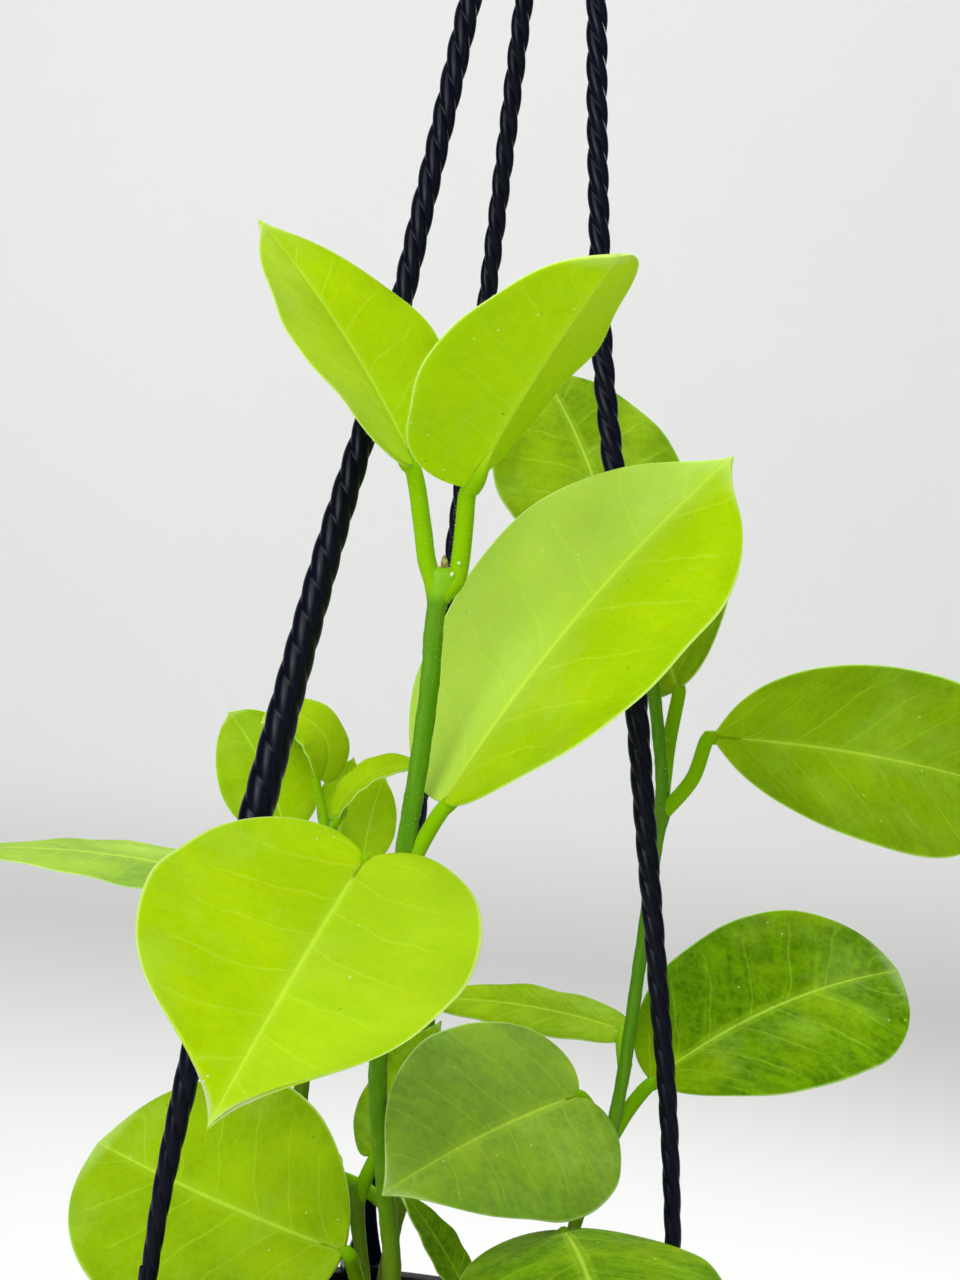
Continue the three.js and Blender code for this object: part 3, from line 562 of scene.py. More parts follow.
leaves = [
    dict(name="top_left", stem="front", node=225, base=(-11.6, -35.8, 247.6), aim=(156.3, 49.7, 15.3),
         size=(50.2, 43.5), droop=13.6, fold=12.3, cup=-0.6, egg=0.44, lobe=2.2, tip=2.6, twist=16.5,
         point=0.8, drip=0.2, stalk=1.15,
         via=[(-6.3, -35, 228.6), (-7.5, -35, 231.4), (-8.8, -35.4, 237)], tone=0.2, bloom=(0, 0)),
    dict(name="top_right", stem="front", node=225, base=(-1.8, -36, 244.7), aim=(-61, 41.5, -20),
         size=(52.5, 41), droop=13, fold=19, cup=-3, egg=0.1, lobe=0, tip=1.2, twist=7, point=0,
         stalk=1.15, via=[(-2.25, -35.1, 228.6), (-1.85, -35.2, 231.6), (-1.8, -35.6, 238.1)], tone=0,
         bloom=(0, 0)),
    dict(name="upper_right", stem="front", node=174, base=(-0.2, -36, 191), aim=(19, 55, -18),
         size=(73, 65), droop=15.5, fold=7, cup=-3, egg=0.1, lobe=0.7, tip=5, twist=-26, point=2,
         tone=0.33, bloom=(0.55, 0)),
    dict(name="front_heart", stem="front", node=174, base=(-12.4, -40.3, 180.3),
         aim=(-106, -30.5, 12.5), size=(57, 55), droop=5, fold=12.5, cup=3, egg=0, lobe=5, tip=9.5,
         twist=2.5, point=1.2, drip=0.5, tone=0.24, bloom=(0.06, 0)),
    dict(name="behind_top", stem="right", node=227, base=(28.4, 20, 234.4), aim=(117, 46, 18),
         size=(56, 39), droop=24, fold=5.5, cup=-8.5, egg=0.1, lobe=2, tip=3.6, twist=6, tone=0.8),
    dict(name="behind_right", stem="right", node=194, base=(41.2, 12.5, 213.9), aim=(104, 35, 46),
         size=(49, 40), droop=8, fold=14, cup=2, egg=0.1, lobe=1.3, twist=-8,
         via=[(40.8, 12.5, 203.5)], tone=0.78),
    dict(name="far_right", stem="right", node=190, base=(48.4, 6, 205.5), aim=(22, -4, -89),
         size=(65.5, 44), droop=12, fold=24, cup=15, egg=-0.1, lobe=-1.3, tip=2, twist=-17,
         via=[(45.2, 4.8, 197.4)], tone=0.62),
    dict(name="lower_right", stem="right", node=128, base=(44.2, 10, 139.4), aim=(31.5, 20.5, -34),
         size=(62, 43), droop=26, fold=7.5, cup=-4.5, egg=-0.1, lobe=0.1, tip=1.2, twist=-16.5,
         point=0, tone=1, bloom=(0, 0)),
    dict(name="lower_middle", stem="right", node=128, base=(29.9, 0, 137.1), aim=(-129, -12, 39),
         size=(49, 42.5), droop=11, fold=14, cup=-13, egg=0.2, lobe=3.7, tip=5, twist=-6, tone=0.92,
         bloom=(0.2, 0.3)),
    dict(name="lower_left", stem="middle", node=94, base=(-10, -8, 106), aim=(146, 6, 56),
         size=(61, 51), droop=-7, fold=9, cup=-6, egg=-0.1, lobe=0.5, tip=0.7, twist=-25, tone=0.55),
    dict(name="far_left", stem="left", node=159, base=(-42.5, 12, 169), aim=(192, 1, 5), size=(48, 37),
         droop=18, fold=-2, cup=-1, egg=0.2, twist=-12, wave=0.1, tone=1, bloom=(0.4, 0.4)),
    dict(name="lower_back", stem="right", node=143, base=(37.6, 18.5, 147), aim=(171, 1, 13),
         size=(39, 23.5), droop=20, fold=4, twist=-4, wave=0.2, tone=0.65, bloom=(0, 0)),
    dict(name="low_front", stem="low_right", node=107, base=(28.3, -26, 118.4), aim=(-84, -6.5, -14),
         size=(59, 46), droop=24, fold=-3, cup=-9, egg=0.1, lobe=3.9, twist=-10, tone=1),
    dict(name="low_slim", stem="low_middle", node=90, base=(13.8, -2, 97.9), aim=(165, 50, 20),
         size=(21, 10), droop=15, fold=14, wave=0.2, tone=1),
    dict(name="low_narrow", stem="middle", node=111, base=(-6.1, 7.5, 121.4), aim=(45, 62, -20),
         size=(24, 15), droop=15, tone=0.8),
    dict(name="young_left", stem="left", node=164, base=(-30.8, 18, 178.7), aim=(180, 59, 80),
         size=(24.5, 19), droop=25, lobe=0.8, tip=0.3, wave=0.2, stalk=0.6, tone=0.45, bloom=(0, 0)),
    dict(name="young_hook", stem="left", node=175, base=(-24.4, 12, 189.5), aim=(182, 40, 42),
         size=(21.3, 12.5), droop=158, fold=4, lobe=0.5, tip=0.5, wave=0, stalk=0.6, tone=0.35),
    dict(name="young_middle", stem="left", node=172, base=(-20.8, 22, 178.5), aim=(0, 84, -85),
         size=(14, 9.5), droop=10, lobe=1, tip=1, wave=0.2, stalk=0.6, tone=0.4),
    dict(name="young_arch", stem="left", node=177, base=(-20.2, 7, 183.6), aim=(-8, 38, -32),
         size=(18.5, 9.5), droop=75, fold=18, lobe=1, tip=2.5, wave=0.1, stalk=0.6, tone=0.4),
    dict(name="young_right", stem="left", node=168, base=(-14.9, 16.5, 175), aim=(0, 82, -85),
         size=(15, 10.5), droop=15, lobe=1, tip=1, wave=0.2, stalk=0.6, tone=0.35),
    dict(name="back_high", stem="back", node=149, base=(-16, 36, 156), aim=(155, 8, 0), size=(48, 38),
         droop=25),
    dict(name="back_middle", stem="back", node=110, base=(9, 40, 118), aim=(80, 5, 5), size=(56, 40),
         droop=30),
    dict(name="back_side", stem="back", node=104, base=(-17, 36, 110), aim=(158, 0, 0), size=(33, 28),
         droop=25),
    dict(name="low_back_left", stem="low_back_left", node=90, base=(-34, 33, 96), aim=(120, -9, 0),
         size=(52, 40), droop=35),
    dict(name="low_back_right", stem="low_back_right", node=84, base=(24, 40, 89.5), aim=(45, -9, 0),
         size=(54, 39), droop=22),
    dict(name="low_side", stem="low_side", node=88, base=(45, 5, 95), aim=(22, -5, 5), size=(56, 38),
         droop=45),
    dict(name="low_front_left", stem="low_left", node=90, base=(-15, -29, 96), aim=(-90, -8, 0),
         size=(58, 36), droop=45),
    dict(name="low_front_right", stem="low_right", node=91, base=(32, -23.5, 97), aim=(-56, -3, 0),
         size=(56, 30), droop=40),
]
hairy = ("top_left", "top_right", "young_hook", "young_arch")


def bladePoints(leaf, x, y, lift):
    # x across the blade, y along its midrib, lift off the middle of its thickness
    rad = math.pi / 180
    turn, rise, roll = leaf["aim"]
    length, width = leaf["size"]
    heading = np.array([math.cos(turn * rad), math.sin(turn * rad), 0])
    up = np.array([0, 0, 1.0])
    rightHand = np.cross(heading, up)
    share = y / length
    steps = leafShape["bendSteps"]

    def slopeAt(s):
        return (rise - leaf["droop"] * (s - 0.5)) * rad

    forward, upward = np.zeros_like(y), np.zeros_like(y)
    for i in range(steps):
        slope = slopeAt((i + 0.5) / steps * share)
        forward += np.cos(slope) * y / steps
        upward += np.sin(slope) * y / steps
    point = np.array(leaf["base"]) + forward[:, None] * heading + upward[:, None] * up
    slope = slopeAt(share)[:, None]
    upright = np.cos(slope) * up - np.sin(slope) * heading
    roll = ((roll + leaf["twist"] * (share - 0.5)) * rad)[:, None]
    side = np.cos(roll) * rightHand + np.sin(roll) * upright
    face = np.cos(roll) * upright - np.sin(roll) * rightHand
    soft = leafShape["soft"]
    out = np.abs(x) / (width / 2)
    tilt = (leaf["fold"] + leaf["cup"] * out) * rad
    hand = np.tanh(x / soft)
    hands = np.sign(x)
    ripple = np.sin(2 * np.pi * (3.7 * share + leaf["seed"]) + 2 * hands)
    wave = leaf["wave"] * np.sin(4 * np.pi * share + hands) * out ** 2
    wave += leafShape["ripple"] * ripple * out ** 3
    rise = (np.sqrt(x ** 2 + soft ** 2) - soft) * np.sin(tilt) + wave + lift * np.cos(tilt)
    point += (x * np.cos(tilt) - hand * lift * np.sin(tilt))[:, None] * side
    return point + rise[:, None] * face


def makeLeaf(spec, seed):
    leaf = {**leafPlain, **spec, "seed": seed * 0.37}
    look = leafShape
    acrossHalf = np.array(look["across"])
    across = np.concatenate([-acrossHalf[:0:-1], acrossHalf])
    rows, cells = look["rows"], len(across) - 1
    points, marks, uv, upperIds, lowerIds = [], [], [], [], []
    count = 0
    length, width = leaf["size"]
    whole = length + leaf["tip"] + leaf["point"]
    left, right = leaf["bloom"]
    widest = 1 + 0.5 * leaf["egg"] ** 2
    for row in range(rows + 1):
        angle = math.pi * row / rows
        half = 0.5 * width * math.sin(angle) * (1 + leaf["egg"] * math.cos(angle)) / widest
        half *= 1 - leaf["drip"] * math.exp(-((math.pi - angle) / look["dripReach"]) ** 2)
        near = angle / look["lobeReach"]
        margin = (length * (1 - math.cos(angle)) / 2 - leaf["lobe"] * near * math.exp(1 - near)
                  + leaf["tip"] * math.exp((angle - math.pi) / look["tipReach"])
                  + leaf["point"] * math.exp((angle - math.pi) / look["pointReach"]))
        rib = whole * (1 - math.cos(angle)) / 2
        share = rib / whole
        for top in (1, 0):
            ids = []
            for cell, a in enumerate(across):
                end = row in (0, rows)
                edge = cell in (0, cells) or end
                if (end and cell > 0) or (edge and not top):
                    ids.append(ids[0] if end and cell > 0 else upperIds[-1][cell])
                    continue
                x = 0 if end else a * half
                y = rib if end else rib + (margin - rib) * abs(a)
                body = 0 if edge else math.sqrt(1 - abs(a) ** 10) * look["thick"] / 2
                ribbed = math.exp(-(x / look["ribWidth"]) ** 2) * (1 - share) ** 0.6 * (0 if edge else 1)
                lift = body - look["groove"] * ribbed if top else -body - look["ribHeight"] * ribbed
                points.append((x, y, lift))
                # the painted sheen and wax change from the left half's share to the right half's across the
                # midrib
                bloom = left + (right - left) / (1 + math.exp(-look["sheenEdge"] * a))
                marks.append((0.5 if edge else top, abs(a), bloom))
                uv.append(((a + 1) / 2 if not end else 0.5, share))
                ids.append(count)
                count += 1
            (upperIds if top else lowerIds).append(ids)
    flat = np.array(points)
    placed = bladePoints(leaf, flat[:, 0], flat[:, 1], flat[:, 2])
    faces = []
    for ids, flip in ((upperIds, False), (lowerIds, True)):
        for row in range(rows):
            for cell in range(cells):
                quad = [ids[row][cell], ids[row][cell + 1], ids[row + 1][cell + 1], ids[row + 1][cell]]
                quad = list(dict.fromkeys(quad))
                if len(quad) > 2:
                    faces.append(tuple(quad[::-1] if flip else quad))

    # the stalk runs from the stem's middle into the underside of the blade
    stem = next(s for s in stems if s["name"] == leaf["stem"])
    root = stemAt(stem, leaf["node"])
    base = np.array(leaf["base"], float)

    def under(y, lift):
        return bladePoints(leaf, np.array([0.0]), np.array([y * 1.0]), np.array([lift]))[0]

    bend = root + (base - root) * look["stalkMiddle"]
    bend[2] += look["stalkArch"] * np.linalg.norm(base - root)
    route = [root, *(leaf["via"] or [bend]), under(-look["stalkLead"], -0.5), under(0.5, -1),
             under(0.16 * length, -0.6)]
    rings = look["stalkRings"]
    line = spline(route, rings)
    radii = leaf["stalk"] * np.interp(np.linspace(0, 5, rings), range(6), look["stalkRadii"])
    stalk, stalkFaces = tube(line, radii, look["stalkSides"], start=count)
    total = np.vstack([placed, stalk])
    marks = np.array(marks)
    n = len(stalk)
    upper = np.concatenate([marks[:, 0], np.full(n, 0.3)])
    ringShare = np.concatenate([np.repeat(np.linspace(0, 1, rings + 2), look["stalkSides"]), [0, 1]])
    stalkMark = np.concatenate([np.zeros(count), np.clip((1 - ringShare) * 4, 0, 1)])
    uv = np.vstack([uv, np.stack([np.full(n, 0.5), ringShare * 0.1], 1)])
    name = "leaf_" + leaf["name"]
    piece = solid("fine_" + name, total, faces + stalkFaces, leafSurface, {
        "upper": upper, "stalk": stalkMark, "shade": np.full(len(total), leaf["tone"]),
        "bloom": np.concatenate([marks[:, 2], np.zeros(n)])}, uv)
    if leaf["name"] in hairy:
        rimHairs = np.where(marks[:, 1] > 0.98, 1.0, 0.0)
        downy.append((total, faces + stalkFaces, np.concatenate([rimHairs, np.full(n, 0.8)])))
    else:
        downy.append((stalk, [tuple(i - count for i in f) for f in stalkFaces], np.full(n, 0.3)))
    slot = "young_leaf" if "young" in leaf["name"] else "leaf"
    return finished(outward(piece), slot, name)


for number, spec in enumerate(leaves):
    makeLeaf(spec, number)
print("leaves ready")


# geometry nodes
class NodeRecipe:
    # one geometry node tree with named inputs
    def __init__(self, name, **inputs):
        self.tree = bpy.data.node_groups.new(name, "GeometryNodeTree")
        face = self.tree.interface
        face.new_socket("Geometry", in_out="INPUT", socket_type="NodeSocketGeometry")
        face.new_socket("Geometry", in_out="OUTPUT", socket_type="NodeSocketGeometry")
        self.keys = {}
        for key, kind in inputs.items():
            made = face.new_socket(key, in_out="INPUT", socket_type="NodeSocket" + kind)
            self.keys[key] = made.identifier
        self.start = self.tree.nodes.new("NodeGroupInput")
        self.end = self.tree.nodes.new("NodeGroupOutput")

    def node(self, kind, settings=None, *plain, **named):
        # plain values fill the sockets in their order, named ones go by the socket's name;
        # kinds other than Shader... and Function... are short for GeometryNode...
        start = "" if kind.startswith(("Shader", "Function")) else "GeometryNode"
        node = self.tree.nodes.new(start + kind)
        for key, value in (settings or {}).items():
            setattr(node, key, value)
        pairs = list(zip(node.inputs, plain))
        for key, value in named.items():
            name = key.replace("_", " ")
            pairs.append((next(one for one in node.inputs if one.name == name and one.enabled), value))
        for socket, value in pairs:
            value = value.outputs[0] if isinstance(value, bpy.types.Node) else value
            if isinstance(value, bpy.types.NodeSocket):
                self.tree.links.new(value, socket)
            else:
                socket.default_value = value
        return node

    def given(self, name):
        return self.start.outputs[name]

    def maths(self, operation, *values):
        return self.node("ShaderNodeMath", {"operation": operation}, *values).outputs[0]

    def vectors(self, operation, *values, **named):
        return self.node("ShaderNodeVectorMath", {"operation": operation}, *values, **named)

    def marked(self, name):
        return self.node("InputNamedAttribute", {"data_type": "FLOAT"}, Name=name).outputs["Attribute"]

    def random(self, kind, low, high, seed):
        node = self.node("FunctionNodeRandomValue", {"data_type": kind}, Min=low, Max=high, Seed=seed)
        return node.outputs["Value"]

    def turned(self, low, high, seed):
        return self.node("FunctionNodeEulerToRotation", Euler=self.random("FLOAT_VECTOR", low, high, seed))

    def close(self, geometry):
        real = self.node("RealizeInstances", Geometry=geometry)
        shade = self.node("SetShadeSmooth", Geometry=real)
        paint = self.node("SetMaterial", Geometry=shade, Material=self.given("Material"))
        self.tree.links.new(paint.outputs[0], self.end.inputs[0])

    def grow(self, piece, **values):
        # runs the tree on a piece and keeps the result as a plain mesh
        modifier = piece.modifiers.new(self.tree.name, "NODES")
        modifier.node_group = self.tree
        for key, value in values.items():
            modifier[self.keys[key]] = value
        return applied(piece)


def twistedRodRecipe():
    # three strands moulded as one: a round section, lobed by its relief, that turns once per pitch
    recipe = NodeRecipe("twisted rod", Pitch="Float", Spacing="Float", Material="Material")
    line = recipe.node("MeshToCurve", Mesh=recipe.given("Geometry"))
    fine = recipe.node("ResampleCurve", {"mode": "LENGTH"}, Curve=line, Length=recipe.given("Spacing"))
    run = recipe.node("SplineParameter").outputs["Length"]
    turns = recipe.maths("MULTIPLY", recipe.maths("DIVIDE", run, recipe.given("Pitch")), -2 * math.pi)
    tilted = recipe.node("SetCurveTilt", Curve=fine, Tilt=turns)
    circle = recipe.node("CurvePrimitiveCircle", {"mode": "RADIUS"}, Resolution=42, Radius=1.0)
    parts = recipe.node("ShaderNodeSeparateXYZ", None, recipe.node("InputPosition"))
    angle = recipe.maths("ARCTAN2", parts.outputs["Y"], parts.outputs["X"])
    lobe = recipe.maths("ABSOLUTE", recipe.maths("COSINE", recipe.maths("MULTIPLY", angle, 1.5)))
    section = recipe.node("StoreNamedAttribute", {"data_type": "FLOAT", "domain": "POINT"},
                          Geometry=circle, Name="lobe", Value=recipe.maths("POWER", lobe, 0.8))
    rod = recipe.node("CurveToMesh", Curve=tilted, Profile_Curve=section,
                      Scale=recipe.marked("thickness"), Fill_Caps=True)
    push = recipe.maths("MULTIPLY", recipe.marked("relief"),
                        recipe.maths("SUBTRACT", recipe.marked("lobe"), 0.7))
    offset = recipe.vectors("SCALE", Vector=recipe.node("InputNormal"), Scale=push)
    recipe.close(recipe.node("SetPosition", Geometry=rod, Offset=offset))
    return recipe


def downRecipe():
    # short fine hairs that stand off a surface where its "down" mark allows
    recipe = NodeRecipe("down", Density="Float", Length="Float", Radius="Float", Seed="Int",
                        Material="Material")
    density = recipe.maths("MULTIPLY", recipe.given("Density"), recipe.marked("down"))
    spots = recipe.node("DistributePointsOnFaces", Mesh=recipe.given("Geometry"), Density=density,
                        Seed=recipe.given("Seed"))
    hair = recipe.node("MeshCone", {"fill_type": "NGON"}, Vertices=3, Radius_Top=0.0,
                       Radius_Bottom=1.0, Depth=1.0)
    height = recipe.maths("MULTIPLY", recipe.given("Length"), recipe.random("FLOAT", 0.45, 1.1, 3))
    size = recipe.node("ShaderNodeCombineXYZ", X=recipe.given("Radius"), Y=recipe.given("Radius"), Z=height)
    turn = recipe.node("FunctionNodeRotateRotation", {"rotation_space": "LOCAL"},
                       spots.outputs["Rotation"], recipe.turned((-0.5, -0.5, 0), (0.5, 0.5, 6.28), 5))
    recipe.close(recipe.node("InstanceOnPoints", Points=spots, Instance=hair, Rotation=turn, Scale=size))
    return recipe


def crumbRecipe():
    # lumps of all sizes scattered over a surface, each one crooked in its own way
    recipe = NodeRecipe("crumbs", Density="Float", Size="Float", Spread="Float", Crook="Float",
                        Sink="Float", Seed="Int", Material="Material")
    spots = recipe.node("DistributePointsOnFaces", {"distribute_method": "POISSON"},
                        Mesh=recipe.given("Geometry"), Distance_Min=recipe.given("Spread"),
                        Density_Max=recipe.given("Density"), Seed=recipe.given("Seed"))
    lump = recipe.node("MeshIcoSphere", Radius=1.0, Subdivisions=2)
    sizes = recipe.random("FLOAT_VECTOR", (0.35, 0.3, 0.25), (1.25, 0.9, 0.6), 2)
    lumps = recipe.node("InstanceOnPoints", Points=spots, Instance=lump,
                        Rotation=recipe.turned((-0.6, -0.6, 0), (0.6, 0.6, 6.28), 9),
                        Scale=recipe.vectors("SCALE", Vector=sizes, Scale=recipe.given("Size")))
    real = recipe.node("RealizeInstances", Geometry=lumps)
    rough = recipe.node("ShaderNodeTexNoise", {"noise_dimensions": "3D"}, Scale=600.0, Detail=2.0)
    middle = recipe.vectors("SUBTRACT", rough.outputs["Color"], (0.5, 0.5, 0.5))
    push = recipe.vectors("SCALE", Vector=middle, Scale=recipe.given("Crook"))
    lower = recipe.node("ShaderNodeCombineXYZ", Z=recipe.maths("MULTIPLY", recipe.given("Sink"), -1.0))
    shift = recipe.vectors("ADD", push, lower)
    recipe.close(recipe.node("SetPosition", Geometry=real, Offset=shift))
    return recipe


twistedRod, down, crumbs = twistedRodRecipe(), downRecipe(), crumbRecipe()


# hanger: three twisted legs, their clips on the rim, and the hook
hanger = dict(pitch=17.8, spacing=0.7, foot=53.6, height=86, rim=55, drop=8, neck=52, wall=1.6,
              gap=0.3, bevel=0.45)
legLine = [(53, 105), (51.9, 118), (48.8, 140), (45, 160), (39.2, 190), (31, 232), (22, 272), (18.5, 296),
           (15.5, 318), (13, 338), (9.4, 362), (6, 384)]
legs = [
    dict(name="hanger_leg_left", angle=218, radii=(1.4, 2.2, 3, 2.6, 2.05, 2, 2, 1.9), bow=1.2,
         relief=(0.2, 0.3, 0.5, 0.65)),
    dict(name="hanger_leg_back", angle=98, radii=(0.9, 1.2, 1.5, 1.6, 1.65, 1.65, 1.7, 1.6), bow=0,
         relief=(0.25, 0.4, 0.65, 0.65)),
    dict(name="hanger_leg_right", angle=-22, radii=(1.35, 1.65, 1.9, 2.1, 1.85, 1.8, 1.8, 1.7), bow=-0.8,
         relief=(0.25, 0.35, 0.6, 0.65)),
]
clip = dict(width=9, plate=2, toe=2.4, lip=6, toeHeight=2, webTop=107, webNeck=1.6, webDepth=2.4)


def prism(outline, near, far, turnTo):
    # an outline of (reach, height) points drawn out sideways from near to far
    n = len(outline)
    points = [turnTo(reach, across, z) for across in (near, far) for reach, z in outline]
    faces = [tuple(range(n)), tuple(range(2 * n - 1, n - 1, -1))]
    faces += [(i, (i + 1) % n, (i + 1) % n + n, i + n) for i in range(n)]
    return points, faces


def makeLeg(leg):
    angle = math.radians(leg["angle"])
    ca, sa = math.cos(angle), math.sin(angle)
    last = len(legLine) - 1
    bowed = [(r + leg["bow"] * math.sin(math.pi * i / last), z) for i, (r, z) in enumerate(legLine)]
    line = spline([(r * ca, r * sa, z) for r, z in bowed], 220)
    ends = np.vstack([line[0] - (line[1] - line[0]) * 1.5, line, line[-1] + (line[-1] - line[-2]) * 4])
    share = np.clip(np.linspace(0, 1, len(ends)), 0, 0.9999)
    mesh = bpy.data.meshes.new("fine_" + leg["name"])
    mesh.from_pydata([tuple(p) for p in ends * mm], [(i, i + 1) for i in range(len(ends) - 1)], [])
    mark(mesh, "thickness", np.interp(share * 7, range(8), leg["radii"]) * mm)
    mark(mesh, "relief", np.interp(share, (0, 0.35, 0.6, 1), leg["relief"]) * mm)
    piece = placed(mesh.name, mesh)
    twistedRod.grow(piece, Pitch=hanger["pitch"] * mm, Spacing=hanger["spacing"] * mm,
                    Material=hangerSurface)

    # the clip: a jaw over the rim and under its skirt, and a web up to the leg
    def turnTo(reach, across, z):
        return (reach * ca - across * sa, reach * sa + across * ca, z)

    gap, plate, half = hanger["gap"], clip["plate"], clip["width"] / 2
    outer, inner = hanger["rim"] + gap, hanger["neck"] - hanger["wall"] - 2 * gap
    top, toeTop = hanger["height"] + gap, hanger["height"] - hanger["drop"] - gap
    jaw = [(inner - plate, top - clip["lip"]), (inner, top - clip["lip"]), (inner, top), (outer, top),
           (outer, toeTop), (hanger["rim"] - clip["toe"], toeTop),
           (hanger["rim"] - clip["toe"], toeTop - clip["toeHeight"]),
           (outer + plate, toeTop - clip["toeHeight"]), (outer + plate, top + plate),
           (inner - plate, top + plate)]
    points, faces = prism(jaw, -half, half, turnTo)
    deep, low = clip["webDepth"] / 2, top + 0.5 * plate
    steps = np.linspace(0, 1, 12)
    wide = [half + (clip["webNeck"] / 2 - half) * math.sin(s * math.pi / 2) ** 0.8 for s in steps]
    heights = [low + (clip["webTop"] - low) * s for s in steps]
    side = [(w, z) for w, z in zip(wide, heights)] + [(-w, z) for w, z in zip(wide[::-1], heights[::-1])]
    n, start = len(side), len(points)
    points += [turnTo(hanger["foot"] + d, w, z) for d in (-deep, deep) for w, z in side]
    faces += [tuple(start + i for i in range(n)), tuple(start + i for i in range(2 * n - 1, n - 1, -1))]
    faces += [(start + i, start + (i + 1) % n, start + (i + 1) % n + n, start + i + n) for i in range(n)]
    foot = outward(solid(leg["name"] + "_clip", points, faces, hangerSurface, smooth=False))
    bevel = foot.modifiers.new("edges", "BEVEL")
    bevel.width = hanger["bevel"] * mm
    bevel.segments = 3
    bevel.limit_method = "ANGLE"
    applied(foot)
    foot.data.shade_smooth()

    reworked(piece, lambda work: work.from_mesh(foot.data))
    bpy.data.objects.remove(foot)
    return finished(outward(piece, 1e-7), "hanger", leg["name"])


for leg in legs:
    makeLeg(leg)


def lathe(profile, sides):
    # profile of (radius, height) from axis to axis
    turns = 2 * np.pi * np.arange(sides) / sides
    points, faces, rings = [], [], []
    for r, z in profile:
        if r < 1e-6:
            rings.append([len(points)] * sides)
            points.append((0, 0, z))
        else:
            rings.append(list(range(len(points), len(points) + sides)))
            points += [(r * math.cos(t), r * math.sin(t), z) for t in turns]
    for a, b in zip(rings, rings[1:]):
        for j in range(sides):
            k = (j + 1) % sides
            quad = list(dict.fromkeys([a[j], a[k], b[k], b[j]]))
            if len(quad) > 2:
                faces.append(tuple(quad))
    return points, faces


def softened(corners, radius, steps=4):
    # rounds the corners of a profile
    made = [corners[0]]
    for before, at, after in zip(corners, corners[1:], corners[2:]):
        p, q, r = np.array(before, float), np.array(at, float), np.array(after, float)
        reach = min(radius, np.linalg.norm(p - q) * 0.45, np.linalg.norm(r - q) * 0.45)
        a = q + (p - q) / np.linalg.norm(p - q) * reach
        b = q + (r - q) / np.linalg.norm(r - q) * reach
        curve = np.linspace(0, 1, steps)[:, None]
        made += [tuple(p) for p in (1 - curve) ** 2 * a + 2 * curve * (1 - curve) * q + curve ** 2 * b]
    return made + [corners[-1]]


hook = dict(boss=9.5, bottom=384.6, shoulder=390, dome=9.4, collar=0.6, top=400, wire=2.1, radius=11,
            centre=420)


def makeHook():
    b, w, c = hook["boss"], hook["wire"], hook["collar"]
    dome = [(0, hook["bottom"]), (b, hook["bottom"]), (b, hook["shoulder"])]
    dome += [(w + c + (b - w - c) * math.cos(t) ** 0.7, hook["shoulder"] + hook["dome"] * math.sin(t))
             for t in np.linspace(0.1, 1.5, 12)]
    dome += [(0, hook["top"])]
    points, faces = lathe(softened(dome, 0.8), 96)
    bend = [(0, 0, hook["top"] - 4), (0, 0, hook["top"] + 3)]
    for angle in range(-70, 211, 20):
        t = math.radians(angle)
        bend.append((hook["radius"] * math.cos(t), 0, hook["centre"] + hook["radius"] * math.sin(t)))
    wire, wireFaces = tube(spline(bend, 120), w, 24, start=len(points))
    piece = solid("fine_hanger_hook", [*points, *wire], faces + wireFaces, hangerSurface)
    return finished(outward(piece), "hanger", "hanger_hook")


makeHook()
print("hanger ready")


# pot and soil
pot = dict(height=86, base=39, foot=1.5, neck=52, rim=55, wall=1.6, floor=2.4, drop=8, skirt=1.4, drain=2.5,
           drainCircle=24, drains=5, sides=144, sharp=0.6)
soil = dict(level=76, crown=2, gap=0.6, bare=2.6, rings=34, sides=96, lump=0.252, seed=4)


def makePot():
    p = pot
    neck, under, lip = p["height"] - p["drop"], p["height"] - p["skirt"], p["rim"] - p["skirt"]
    inner, foot = p["neck"] - p["wall"], p["foot"]
    corners = [
        (0, 0), (p["base"] - foot, 0), (p["base"], foot), (p["neck"], neck), (p["neck"], under),
        (lip, under), (lip, neck), (p["rim"], neck), (p["rim"], p["height"]), (inner, p["height"]),
        (inner, neck), (p["base"] - p["wall"], p["floor"]), (0, p["floor"])]
    points, faces = lathe(softened(corners, 0.5), p["sides"])
    piece = outward(solid("fine_pot", points, faces, potSurface))
    cuts = bmesh.new()
    for i in range(p["drains"]):
        angle = 2 * math.pi * (i + 0.5) / p["drains"]
        where = Matrix.Translation(Vector((math.cos(angle), math.sin(angle), 0)) * p["drainCircle"] * mm)
        bmesh.ops.create_cone(cuts, cap_ends=True, segments=28, radius1=p["drain"] * mm,
                              radius2=p["drain"] * mm, depth=8 * mm, matrix=where)
    cutMesh = bpy.data.meshes.new("drains")
    cuts.to_mesh(cutMesh)
    cuts.free()
    cutter = placed("drains", cutMesh)
    holes = piece.modifiers.new("drains", "BOOLEAN")
    holes.object = cutter
    holes.solver = "EXACT"
    applied(piece)
    bpy.data.objects.remove(cutter)

    def sharpen(work):
        for edge in work.edges:
            edge.smooth = len(edge.link_faces) == 2 and edge.calc_face_angle() < p["sharp"]

    return finished(reworked(piece, sharpen), "pot", "pot")


